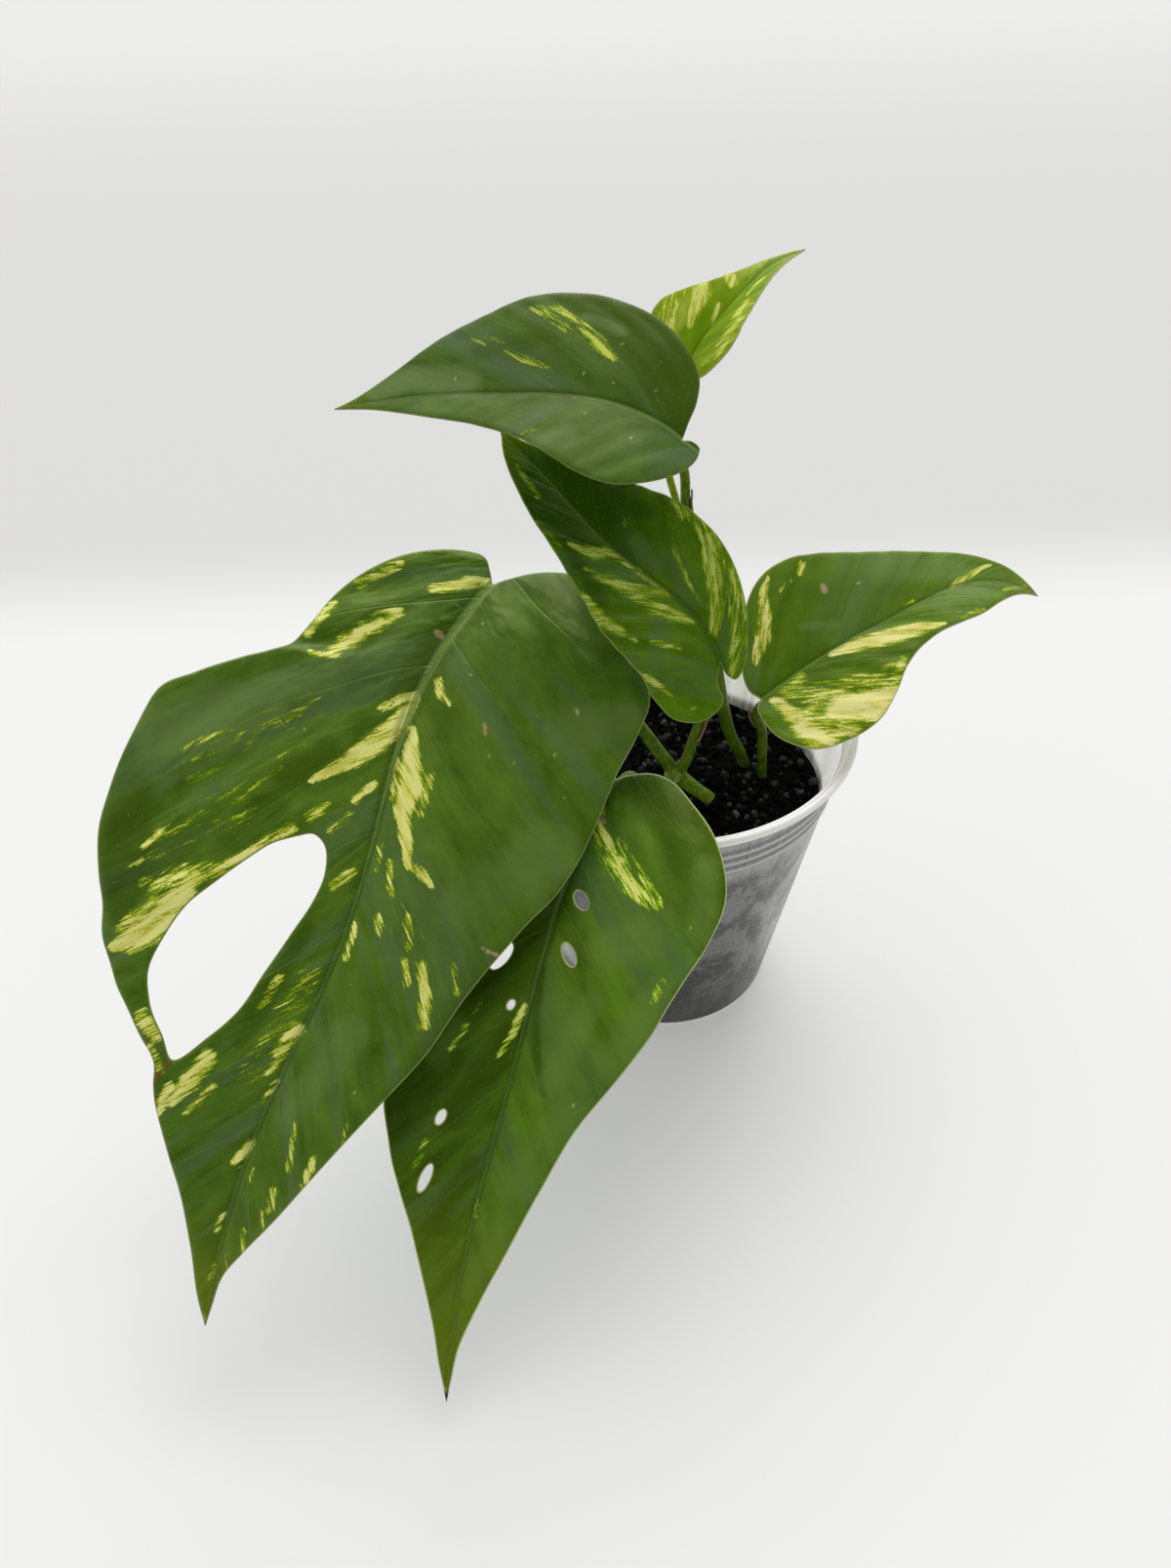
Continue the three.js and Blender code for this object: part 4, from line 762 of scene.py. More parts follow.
class Sheet:
    """The bent sheet of a leaf: where a point of the flat blade lies in space."""

    def __init__(self, leaf):
        self.leaf = leaf
        self.shares = np.linspace(0, 1, 601)
        self.lengths = lengths_along(self.cubic(self.shares))
        self.length = self.lengths[-1]
        self.width = sheet_width(leaf)

    def cubic(self, t):
        a, b, c, d = np.array(self.leaf["spine"], float)
        t = np.asarray(t)[..., None]
        return (1 - t) ** 3 * a + 3 * (1 - t) ** 2 * t * b + 3 * (1 - t) * t ** 2 * c + t ** 3 * d

    def slope(self, t):
        a, b, c, d = np.array(self.leaf["spine"], float)
        t = np.asarray(t)[..., None]
        return unit((1 - t) ** 2 * (b - a) + 2 * (1 - t) * t * (c - b) + t ** 2 * (d - c))

    def frame(self, y):
        inner = np.clip(y, 0, self.length)
        t = np.interp(inner, self.lengths, self.shares)
        along = self.slope(t)
        side = unit(np.cross(along, (0, 0, 1.0)))
        up = np.cross(side, along)
        roll = np.radians(blend(self.leaf["roll"], t))[..., None]
        across = side * np.cos(roll) - up * np.sin(roll)
        normal = up * np.cos(roll) + side * np.sin(roll)
        centre = self.cubic(t) + along * (np.asarray(y) - inner)[..., None]
        return t, centre, along, across, normal

    def bulge(self, x, y):
        """Height of the soft swellings between the side veins."""
        reach = np.abs(x) / self.width
        vein = (y - np.abs(x) * (0.55 + 0.45 * reach)) / (self.length * 0.1)
        fade = np.minimum(1, reach * 2.5) * np.maximum(0, 1 - np.maximum(y, 0) / self.length)
        return self.leaf["bulge"] * fade * (np.sin(np.pi * vein) ** 2 - 0.5) + self.crest(x, y)

    def crest(self, x, y):
        """Height of a crest that runs in from the margin, steep towards the leaf's base."""
        if "crest" not in self.leaf:
            return 0.0
        (x0, y0), (x1, y1), height = self.leaf["crest"]
        dx, dy = x1 - x0, y1 - y0
        size = math.hypot(dx, dy)
        share = ((x - x0) * dx + (y - y0) * dy) / size ** 2
        away = (dy * (x - x0) - dx * (y - y0)) / size
        shape = np.exp(-(away / np.where(away > 0, 9.0, 2.0)) ** 2)
        return height * shape * smooth_step(1.0, 0.3, share)

    def points(self, x, y, lift=0.0):
        x, y = np.asarray(x, float), np.asarray(y, float)
        t, centre, along, across, normal = self.frame(y)
        fold = np.radians(blend(self.leaf["fold"], t))
        curl = np.where(x < 0, blend(self.leaf["curl"]["left"], t), blend(self.leaf["curl"]["right"], t))
        reach = np.abs(x)
        sideways = (np.sin(fold) - np.sin(fold - curl * reach)) / curl
        height = (np.cos(fold - curl * reach) - np.cos(fold)) / curl
        sway = sum(s * np.sin((i + 1) * math.pi * t) for i, s in enumerate(self.leaf["sway"]))
        tilt = np.sign(x) * (fold - curl * reach)
        out = normal * np.cos(tilt)[..., None] - across * np.sin(tilt)[..., None]
        return (centre + across * (sway + np.sign(x) * sideways)[..., None]
                + normal * (height + self.bulge(x, y))[..., None] + out * np.asarray(lift)[..., None])


def blade_loop(leaf, length, step):
    """Closed flat outline of a blade, round its left side to the tip and back along its right."""
    left = curve_through([*leaf["left"], (0, length)], step)
    right = curve_through([*leaf["right"], (0, length)], step)
    return np.vstack([left[:-1] * (-1, 1), right[::-1][:-1]])


def mark_rings(ellipses):
    """Points on and round small flat ellipses, so that the mesh can carry them."""
    rings = [np.zeros((0, 2))]
    for x, y, half_width, half_length, turn in ellipses:
        rings.append(np.array([(x, y)], float))
        for grow, count in ((0.97, 12), (1.5, 14)):
            rings.append(ellipse(x, y, half_width * grow, half_length * grow, turn, count))
    return np.vstack(rings)


def marks(points, ellipses):
    """1 inside small flat ellipses, falling to 0 just outside them."""
    value = np.zeros(len(points))
    for x, y, half_width, half_length, turn in ellipses:
        angle = math.radians(turn)
        dx, dy = points[:, 0] - x, points[:, 1] - y
        u = (dx * math.cos(angle) + dy * math.sin(angle)) / half_width
        v = (-dx * math.sin(angle) + dy * math.cos(angle)) / half_length
        value = np.maximum(value, np.clip((1.5 - np.hypot(u, v)) * 2, 0, 1))
    return value


def marbling(points, strokes):
    """Strength of listed strokes at flat points. A stroke's half width changes along it."""
    field = np.zeros(len(points))
    for strength, *stations in strokes:
        for (x0, y0, w0), (x1, y1, w1) in zip(stations[:-1], stations[1:]):
            a, d = np.array((x0, y0)), np.array((x1 - x0, y1 - y0))
            s = np.clip(((points - a) @ d) / (d @ d), 0, 1)
            away = np.linalg.norm(points - a - s[:, None] * d, axis=1) / (w0 + (w1 - w0) * s)
            field = np.maximum(field, strength * np.clip(1.2 - away ** 2 * 0.75, 0, 1.08))
    return field


def vein_place(x, y, leaf, length):
    """How far along its side vein a flat point lies, and where that vein leaves the midrib."""
    left, right = leaf["veins"]["left"], leaf["veins"]["right"]
    lean = np.where(x < 0, left[0], right[0])
    turn = np.where(x < 0, left[1], right[1])
    reach = np.abs(x)
    foot = (y - lean * reach) / (1 + turn * reach / length)
    return reach * np.sqrt(1 + lean ** 2), foot + np.where(x < 0, 0.43, 0.0) * leaf["veins"]["gap"]


def openings(name, step):
    """Flat outlines of a blade's openings."""
    if name == "leaf_split":
        return [curve_through([*SPLIT_OPENING, SPLIT_OPENING[0]], step)[:-1]]
    return [ellipse(*opening) for opening in ROUND_OPENINGS.get(name, ())]


def build_leaf(name, material):
    leaf = LEAVES[name]
    sheet = Sheet(leaf)
    step = leaf["spacing"] * 0.8
    loop = blade_loop(leaf, sheet.length, step)
    holes = openings(name, step)
    spine = np.stack([np.zeros(200), np.linspace(0, sheet.length, 200)], 1)[1:-1]
    flat, triangles = fill_flat(loop, holes, leaf["spacing"], [spine], mark_rings([*DOTS[name], *SCARS[name]]))
    x, y = flat.T
    share = np.clip(y / sheet.length, 0, 1)
    edge = distance_to_path(flat, closed(loop))
    rim = np.min([np.full(len(flat), FAR), *(distance_to_path(flat, closed(hole)) for hole in holes)], axis=0)

    # The skins come together at the margin. The keel under the midrib and the groove over it fade towards the tip.
    thick = THIN_EDGE + (THICK - THIN_EDGE) * smooth_step(0, 1.2, np.minimum(edge, rim))
    rib = KEELS[name] * (1 - share) * np.exp(-(x / (KEELS[name] * 1.1)) ** 2) * np.clip(y + 1, 0, 1)
    groove = GROOVE * leaf["rib"] * (1 - 0.7 * share) * np.exp(-(x / (0.55 + 0.6 * leaf["rib"])) ** 2)
    ripple = RIPPLE * np.array([noise.noise(Vector((px * 0.09, py * 0.09, 3.1))) for px, py in flat])
    upper = sheet.points(x, y, thick - groove + ripple)
    lower = sheet.points(x, y, -thick - rib + ripple)
    count = len(flat)
    border = border_edges(triangles)
    sides = np.stack([border[:, 1], border[:, 0], border[:, 0] + count, border[:, 1] + count], 1)
    faces = triangles.tolist() + (triangles[:, ::-1] + count).tolist() + sides.tolist()
    piece = mesh_object(name + "_blade", np.vstack([upper, lower]), faces)

    # What the leaf's paint reads at each point, the same for both skins
    fields = {
        "flat": np.stack([x, y, np.zeros(count)], 1),
        "vein": np.stack([*vein_place(x, y, leaf, sheet.length), np.zeros(count)], 1),
        "edge": edge,
        "rim": rim,
        "share": share,
        "cream": marbling(flat, STROKES[name]),
        "dots": marks(flat, [(a, b, w * DOT_WIDTH, h * DOT_LENGTH, turn) for a, b, w, h, turn in DOTS[name]]),
        "scars": marks(flat, SCARS[name]),
    }
    for shade, strokes in {"seam": SEAMS.get(name, ()), **PAINTED_SHADE_AND_LIGHT[name]}.items():
        fields[shade] = np.clip(marbling(flat, strokes), 0, 1)
    for field, values in fields.items():
        give(piece, field, np.concatenate([values, values]))
    give(piece, "under", np.repeat((0.0, 1.0), count))
    place(piece, name, material)


class Paint:
    """Builds the nodes of one material. A value is a number, a colour or another node's socket."""

    def __init__(self, name):
        self.material = bpy.data.materials.new(name)
        self.material.use_nodes = True
        self.tree = self.material.node_tree

    def put(self, kind, **settings):
        node = self.tree.nodes.new(kind)
        for key, value in settings.items():
            setattr(node, key, value)
        return node

    def join(self, value, socket):
        if isinstance(value, bpy.types.NodeSocket):
            self.tree.links.new(value, socket)
        else:
            socket.default_value = value

    def feed(self, node, values):
        """Joins values to a node's inputs, by name or by number."""
        for socket, value in values.items():
            self.join(value, node.inputs[socket])
        return node

    def calc(self, operation, a, b=0.0, c=0.0, clamp=False):
        node = self.put("ShaderNodeMath", operation=operation, use_clamp=clamp)
        return self.feed(node, {0: a, 1: b, 2: c}).outputs[0]

    def times(self, a, b, clamp=False):
        return self.calc("MULTIPLY", a, b, clamp=clamp)

    def less(self, a, b):
        return self.calc("SUBTRACT", a, b)

    def add(self, value, gain, base, clamp=False):
        """base plus gain times value."""
        return self.calc("MULTIPLY_ADD", value, gain, base, clamp)

    def swing(self, value, gain, base, clamp=False):
        """base, moved up and down by a noise whose middle is 0.5."""
        return self.add(self.less(value, 0.5), gain, base, clamp)

    def step(self, value, low, high, bottom=0.0, top=1.0):
        """Smooth change from bottom to top as value goes from low to high."""
        node = self.put("ShaderNodeMapRange", interpolation_type="SMOOTHSTEP")
        return self.feed(node, dict(enumerate((value, low, high, bottom, top)))).outputs[0]

    def mix(self, factor, a, b):
        node = self.put("ShaderNodeMix", data_type="RGBA")
        a, b = (value if isinstance(value, bpy.types.NodeSocket) else (*value, 1.0) for value in (a, b))
        return self.feed(node, {"Factor": factor, 6: a, 7: b}).outputs[2]

    def attribute(self, name, output="Fac"):
        return self.put("ShaderNodeAttribute", attribute_name=name).outputs[output]

    def noise(self, vector, scale, detail=2.0, rough=0.5, distortion=0.0):
        node = self.put("ShaderNodeTexNoise")
        values = {"Vector": vector, "Scale": scale, "Detail": detail, "Roughness": rough, "Distortion": distortion}
        return self.feed(node, values).outputs["Fac"]

    def scaled(self, vector, scale, shift=(0.0, 0.0, 0.0)):
        node = self.put("ShaderNodeMapping")
        return self.feed(node, {"Vector": vector, "Scale": scale, "Location": shift}).outputs[0]

    def streaks(self, vector, scale, shift=(0.0, 0.0, 0.0), detail=2.0, rough=0.5, distortion=0.0):
        """Noise with a scale of its own along each axis."""
        return self.noise(self.scaled(vector, scale, shift), 1.0, detail, rough, distortion)

    def distance(self, vector, point):
        node = self.put("ShaderNodeVectorMath", operation="DISTANCE")
        return self.feed(node, {0: vector, 1: point}).outputs["Value"]

    def bump(self, height, strength, distance):
        node = self.put("ShaderNodeBump")
        return self.feed(node, {"Strength": strength, "Distance": distance * MM, "Height": height}).outputs[0]

    def place_mm(self):
        """Place in the part's frame, in millimetres."""
        return self.scaled(self.put("ShaderNodeNewGeometry").outputs["Position"], (1000, 1000, 1000))

    def parts(self, vector):
        return self.feed(self.put("ShaderNodeSeparateXYZ"), {0: vector}).outputs

    def finished(self, colour, rough, **others):
        """The material, with its shader's inputs set. The others go by the short names in SHADER_INPUTS."""
        values = {"colour": colour, "rough": rough, **others}
        self.feed(self.tree.nodes["Principled BSDF"], {SHADER_INPUTS[key]: value for key, value in values.items()})
        return self.material


def leaf_material(name):
    leaf = LEAVES[name]
    paint = Paint(name + "_paint")
    step, mix, times, swing = paint.step, paint.mix, paint.times, paint.swing
    flat = paint.attribute("flat", "Vector")
    vein = paint.attribute("vein", "Vector")
    x = paint.parts(flat)[0]
    foot = paint.parts(vein)[1]
    reach = paint.calc("ABSOLUTE", x)
    share = paint.attribute("share")

    # Streaky noise along the side veins breaks up every marbled patch
    field = paint.attribute("cream")
    broad = paint.streaks(vein, (0.10, 0.45, 1), detail=2.0, rough=0.55, distortion=0.6)
    fine = paint.streaks(vein, (0.26, 1.6, 1), (7, 3, 0), 3.0, 0.65, 0.5)
    rough_edge = times(paint.less(broad, 0.5), 2.1)
    rough_edge = swing(fine, 2.6, rough_edge)
    rough_edge = swing(paint.noise(flat, 1.9, 2.0, 0.6), 0.9, rough_edge)
    ragged = paint.add(rough_edge, step(field, 0.0, 0.5), times(field, 0.92))
    soft = leaf["soft"]
    tint = step(ragged, 0.46 - soft, 0.66 + soft)
    lime = step(ragged, 0.66 - soft * 0.5, 0.86 + soft)
    cream = step(ragged, 0.90, 1.12 + soft)

    # Greens: soft clouds drawn out along the veins, a mottle, and one half darker than the other as painted shade
    cloud = paint.streaks(vein, (0.045, 0.10, 1), (2, 9, 0), 3.0, 0.55, 0.5)
    # Painted light and shade: one half of the blade lighter, the other darker
    left, right = leaf["sides"]
    tone = step(x, -3.0, 3.0, 0.5 + left, 0.5 + right)
    tone = swing(cloud, 1.5, tone)
    tone = swing(paint.noise(flat, 0.17, 4.0, 0.6), 0.9, tone)
    tone = swing(paint.streaks(vein, (0.06, 0.7, 1), (5, 1, 0)), 0.35, tone, clamp=True)
    tone = paint.calc("ADD", tone, step(share, 0.0, 0.9, -leaf["fall"], leaf["fall"]), clamp=True)
    dark, light = leaf["greens"]
    green = mix(tone, dark, light)
    # Painted sheen: a grey-green reflection tone in streaks along the veins
    painted_sheen = paint.streaks(vein, (0.022, 0.15, 1), (3, 8, 0), distortion=0.8)
    green = mix(step(painted_sheen, 0.47, 0.72, 0.0, 0.55), green, leaf["painted_sheen"])
    # Bands along the side veins paint sheen with the sheen tone and shade with the deep tone
    for side, centre, half_width, strength, tone_name in leaf["bands"]:
        away = paint.calc("ABSOLUTE", paint.less(foot, centre))
        near = step(away, half_width * 0.5, half_width * 1.2, strength, 0.0)
        green = mix(times(near, step(times(x, side), 0.0, 1.2)), green, leaf[tone_name])
    # Painted shade and painted light: soft strokes mix in the deep and lit tones
    uneven = step(cloud, 0.25, 0.65, 0.65, 1.0)
    for shade, strength, tone_name in (("painted_shade", 0.8, "deep_and_shade"), ("glow", 0.75, "painted_lit")):
        green = mix(times(paint.attribute(shade), times(uneven, strength)), green, leaf[tone_name])
    dust = step(paint.noise(flat, 1.5, 1.0, 0.5), 0.68, 0.74)
    green = mix(times(dust, 0.5), green, DUST_TONE)

    # Marbling: a tint, then lime, then cream, and the small marks over them
    faint, middle, pale = leaf["marble"]
    colour = mix(times(tint, 0.9), green, faint)
    colour = mix(lime, colour, middle)
    ripe = mix(step(broad, 0.38, 0.58), [c * k for c, k in zip(pale, RIPE_SHADE)], pale)
    colour = mix(cream, colour, ripe)
    colour = mix(times(paint.attribute("dots"), 0.85), colour, DOT_TONE)
    colour = mix(paint.attribute("scars"), colour, SCAR_TONE)
    colour = mix(paint.attribute("seam"), colour, SEAM_TONE)

    # Side veins: a thin line at each vein's foot, fading towards the margin
    gap = leaf["veins"]["gap"]
    shaken = paint.add(paint.noise(flat, 0.02, 1.0, 0.5), gap * 0.6, foot)
    turns = paint.calc("FRACT", paint.calc("DIVIDE", shaken, gap))
    apart = times(paint.calc("ABSOLUTE", paint.less(turns, 0.5)), gap)
    width = sheet_width(leaf)
    line = times(step(apart, 0.08, 0.45, 1.0, 0.0), step(reach, width * 0.9, width * 0.15))
    line = times(line, step(field, 0.2, 0.8, 1.0, 0.1))
    colour = mix(times(line, 0.22), colour, leaf["vein_tone"])

    # Midrib: broad and pale at the base, a thin dark line towards the tip, with painted shade along its flanks
    rib_width = step(share, 0.0, 0.45, leaf["rib"] * 1.2, 0.28)
    across = paint.calc("DIVIDE", reach, rib_width)
    # Painted shade in a band on each side of the midrib
    painted_rib_shade = times(step(across, 0.9, 1.5), step(across, 1.8, 4.0, 1.0, 0.0))
    colour = mix(times(painted_rib_shade, 0.4), colour, [c * 0.8 for c in dark])
    rib_tone = mix(step(share, 0.1, 0.6), leaf["rib_tone"], THIN_RIB_TONE)
    rib = step(across, 0.6, 1.1, 1.0, 0.0)
    colour = mix(times(rib, step(share, 0.0, 1.0, 0.9, 0.6)), colour, rib_tone)

    # Yellowing towards the tip, thin pale margin, rims round the openings, dry tip and dull underside
    colour = mix(step(share, AGED_FROM.get(name, AGED_FROM_USUAL), 0.985, 0.0, 0.65), colour, AGED_TONE)
    strength, margin_tone = leaf["margin"]
    colour = mix(step(paint.attribute("edge"), 0.08, 0.36, strength, 0.0), colour, margin_tone)
    if name in OPENING_TONES:
        colour = mix(step(paint.attribute("rim"), 0.1, 0.4, 0.9, 0.0), colour, OPENING_TONES[name])
    tip_start, tip_tone = leaf["tip"]
    colour = mix(step(share, tip_start, tip_start + 0.012), colour, tip_tone)
    under = paint.attribute("under")
    colour = mix(times(under, 0.55), colour, UNDER_TONE)

    # Satin skin, and relief from quilting, sunken veins and a fine pebbled grain
    rough = paint.add(under, 0.18, step(paint.noise(flat, 0.4, 2.0, 0.5), 0.3, 0.7, 0.34, 0.46))
    relief = times(paint.streaks(vein, (0.07, 0.13, 1), (4, 4, 0), distortion=0.4), 1.5)
    relief = paint.add(paint.streaks(vein, (0.2, 0.7, 1), (1, 6, 0), rough=0.55), 0.045, relief)
    relief = paint.add(paint.noise(flat, 4.0, 2.0, 0.6), 0.025, relief)
    relief = paint.add(line, -0.12, relief)
    relief = paint.add(step(reach, 0.0, leaf["rib"] * 1.6, 1.0, 0.0), -0.25, relief)
    gloss, relief_depth = leaf["skin"]
    relief = paint.bump(relief, 1.0, relief_depth)
    return paint.finished(colour, rough, relief=relief, specular=gloss, tint=GREEN_TINT)


def tube(course, radii, sides, step):
    """Closed tube along a smooth course. Returns points, faces and the distance along the tube for each point."""
    line = curve_through(course, step)
    lengths = lengths_along(line)
    share = lengths / lengths[-1]
    radius = radii(share) if callable(radii) else blend(radii, share)
    slopes = unit(np.gradient(line, axis=0))
    side = unit(np.cross(slopes[0], (0.31, 0.2, 0.93)))
    a = np.linspace(0, 2 * math.pi, sides, endpoint=False)[:, None]
    points = []
    for centre, slope, size in zip(line, slopes, radius):
        side = unit(side - slope * (side @ slope))
        points.append(centre + (np.cos(a) * side + np.sin(a) * np.cross(slope, side)) * size)
    points = np.vstack(points + [line[:1], line[-1:]])
    faces = ring_faces(len(line), sides)
    start, last = len(line) * sides, (len(line) - 1) * sides
    for s in range(sides):
        n = (s + 1) % sides
        faces += [(start, n, s), (start + 1, last + s, last + n)]
    return points, faces, np.concatenate([np.repeat(lengths, sides), [0, lengths[-1]]])


def ball(centre, radius, stretch=1.0):
    """Round swelling on a stem."""
    p = np.linspace(math.pi, 0, 15)
    points, faces = lathe(list(zip(radius * np.sin(p), radius * stretch * np.cos(p))), 24)
    return points + centre, faces, np.zeros(len(points))


def joined(name, shells):
    """One object from several closed shells, each (points, faces, along, part number)."""
    points, faces, along, part, start = [], [], [], [], 0
    for shell_points, shell_faces, shell_along, number in shells:
        points.append(shell_points)
        faces.extend(tuple(i + start for i in face) for face in shell_faces)
        along.append(shell_along)
        part.append(np.full(len(shell_points), number))
        start += len(shell_points)
    piece = mesh_object(name, np.vstack(points), faces)
    give(piece, "along", np.concatenate(along))
    give(piece, "part", np.concatenate(part))
    return piece


def root_course(end, k, turn, reach):
    """Course of a root, as in the part's source."""
    hash_of = lambda i, j: (math.sin(i * 127.1 + j * 311.7) * 43758.5453) % 1.0
    a = 2 * math.pi * (k + turn) / ROOTS
    spread = reach * (0.7 + 0.5 * hash_of(k, 7))
    drop = ROOT_DROP * (0.7 + 0.5 * hash_of(k, 3))
    return [(end[0] + spread * math.sin(s * 1.4) * math.cos(a + s * 0.5),
             end[1] + spread * math.sin(s * 1.4) * math.sin(a + s * 0.5),
             end[2] + 2 - drop * s ** 1.3) for s in (0, 0.35, 0.7, 1)]


def stalk_material(name, dark, light, fleck_tone):
    """Green stalk with fine lengthwise ribs, a mottle and pale flecks."""
    paint = Paint(name)
    place_mm = paint.place_mm()
    streak = paint.streaks(place_mm, (1.4, 1.4, 0.22), detail=3.0, rough=0.6)
    mottle = paint.noise(place_mm, 0.35, 2.0, 0.5)
    colour = paint.mix(paint.step(paint.swing(mottle, 0.9, streak, clamp=True), 0.3, 0.75), dark, light)
    fleck = paint.step(paint.noise(place_mm, 2.2, 1.0, 0.5), 0.66, 0.74)
    colour = paint.mix(paint.times(fleck, 0.3), colour, fleck_tone)
    rough = paint.step(mottle, 0.3, 0.7, 0.34, 0.5)
    return paint.finished(colour, rough, relief=paint.bump(streak, 0.5, 0.35), **STALK_SKIN)


def stem_material():
    """Stem by part number: green shoot, paler node, beige cut face and pale roots."""
    paint = Paint("stem_paint")
    place_mm = paint.place_mm()
    part = paint.attribute("part")
    streak = paint.streaks(place_mm, (1.2, 1.2, 0.3), detail=3.0, rough=0.6)
    mottle = paint.noise(place_mm, 0.6, 3.0, 0.6)
    colour = paint.mix(paint.step(streak, 0.3, 0.7), (0.060, 0.118, 0.003), (0.140, 0.225, 0.014))
    for number, low, high, dark, light in STEM_PARTS:
        tone = paint.mix(paint.step(mottle, low, high), dark, light)
        colour = paint.mix(paint.step(part, number - 0.4, number - 0.1), colour, tone)
    rough = paint.step(mottle, 0.3, 0.7, 0.36, 0.55)
    return paint.finished(colour, rough, relief=paint.bump(streak, 0.5, 0.4), **STALK_SKIN)


def build_stems():
    paint = stem_material()
    stub_radius = lambda s: 2.05 - 0.45 * s + 0.12 * np.exp(-((s - 0.86) / 0.08) ** 2)
    shoot_radius = lambda s: np.interp(s, (0, 0.08, 0.25, 0.9, 1), (1.9, 1.45, 1.25, 1.2, 1.5))
    end = np.array(STUB[2])
    outwards = unit(end - STUB[1])
    shells = [
        (*tube(STUB, stub_radius, 28, 0.4), GREEN_PART),
        (*tube([end - outwards * 0.4, end + outwards * 0.12], (1.4, 1.35), 28, 0.2), CUT_PART),
        (*tube(SHOOT, shoot_radius, 24, 0.6), GREEN_PART),
        (*ball(NODE, NODE_RADIUS), NODE_PART),
        (*ball(FORK, FORK_RADIUS, 1.05), NODE_PART),
    ]
    buried = (("stem_front", BURIED_STEM, (2.3, 2.3, 2.2, 2.0), 0.2, 15),
              ("stem_rear", REAR_STEM, (2.6, 2.4, 2.0), 0.6, 8))
    for name, course, radii, turn, reach in buried:
        shells.append((*tube(course, radii, 16, 1.5), ROOT_PART))
        for k in range(ROOTS):
            shells.append((*tube(root_course(course[-1], k, turn, reach), (0.9, 0.63), 8, 1.5), ROOT_PART))
        place(joined(name + "_fine", shells), name, paint)
        shells = []


def petiole_course(name):
    petiole = PETIOLES[name]
    leaf = petiole["leaf"]
    _, centre, along, _, normal = Sheet(LEAVES[leaf]).frame(np.array([0.0]))
    radius = STALK_ENDS[leaf]
    end = centre[0] - normal[0] * (BLADE / 2 + KEELS[leaf] + CLEAR + radius) + along[0] * radius * MEET
    course = [np.array(p, float) for p in petiole["course"]] + [end]
    if "from" in petiole:
        origin = np.array(petiole["from"], float) + (*petiole["lean"], 0)
        course.insert(0, origin + unit(course[0] - origin) * petiole["start"] * ROOTED)
    return course


def build_petioles():
    for name, petiole in PETIOLES.items():
        course = petiole_course(name)
        end = STALK_ENDS[petiole["leaf"]]
        base = petiole["radius"]
        # The stalk runs on under the midrib and tapers into its keel
        sheet = Sheet(LEAVES[petiole["leaf"]])
        keel = sheet.points([0.0], [end * (MEET + TAPER)], -BLADE / 2 - KEELS[petiole["leaf"]] * 0.6)[0]
        length = sum(math.dist(a, b) for a, b in zip(course[:-1], course[1:]))
        full = (length + math.dist(course[-1], keel)) / length
        shares = (0, 0.06, 0.2, 0.8, 0.93, 1, full)
        sizes = (base * 1.12, base * 1.05, base * 0.97, base * 0.95, end * 1.12, end, end * 0.35)
        shell = tube([*course, keel], lambda s: np.interp(s * full, shares, sizes), 20, 0.5)
        paint = stalk_material(name.replace("petiole", "stalk") + "_paint", *petiole["tones"])
        place(joined(name + "_fine", [(*shell, 0)]), name, paint)


def wall_radius(z):
    return BASE_RADIUS + (SHOULDER_RADIUS - BASE_RADIUS) * z / SHOULDER_HEIGHT


def lathe(profile, segments):
    """Skin of a profile of (radius, height) turned about Z, without ends."""
    a = 2 * math.pi * np.arange(segments) / segments
    points = [np.stack([r * np.cos(a), r * np.sin(a), np.full(segments, z)], 1) for r, z in profile]
    return np.vstack(points), ring_faces(len(profile), segments)


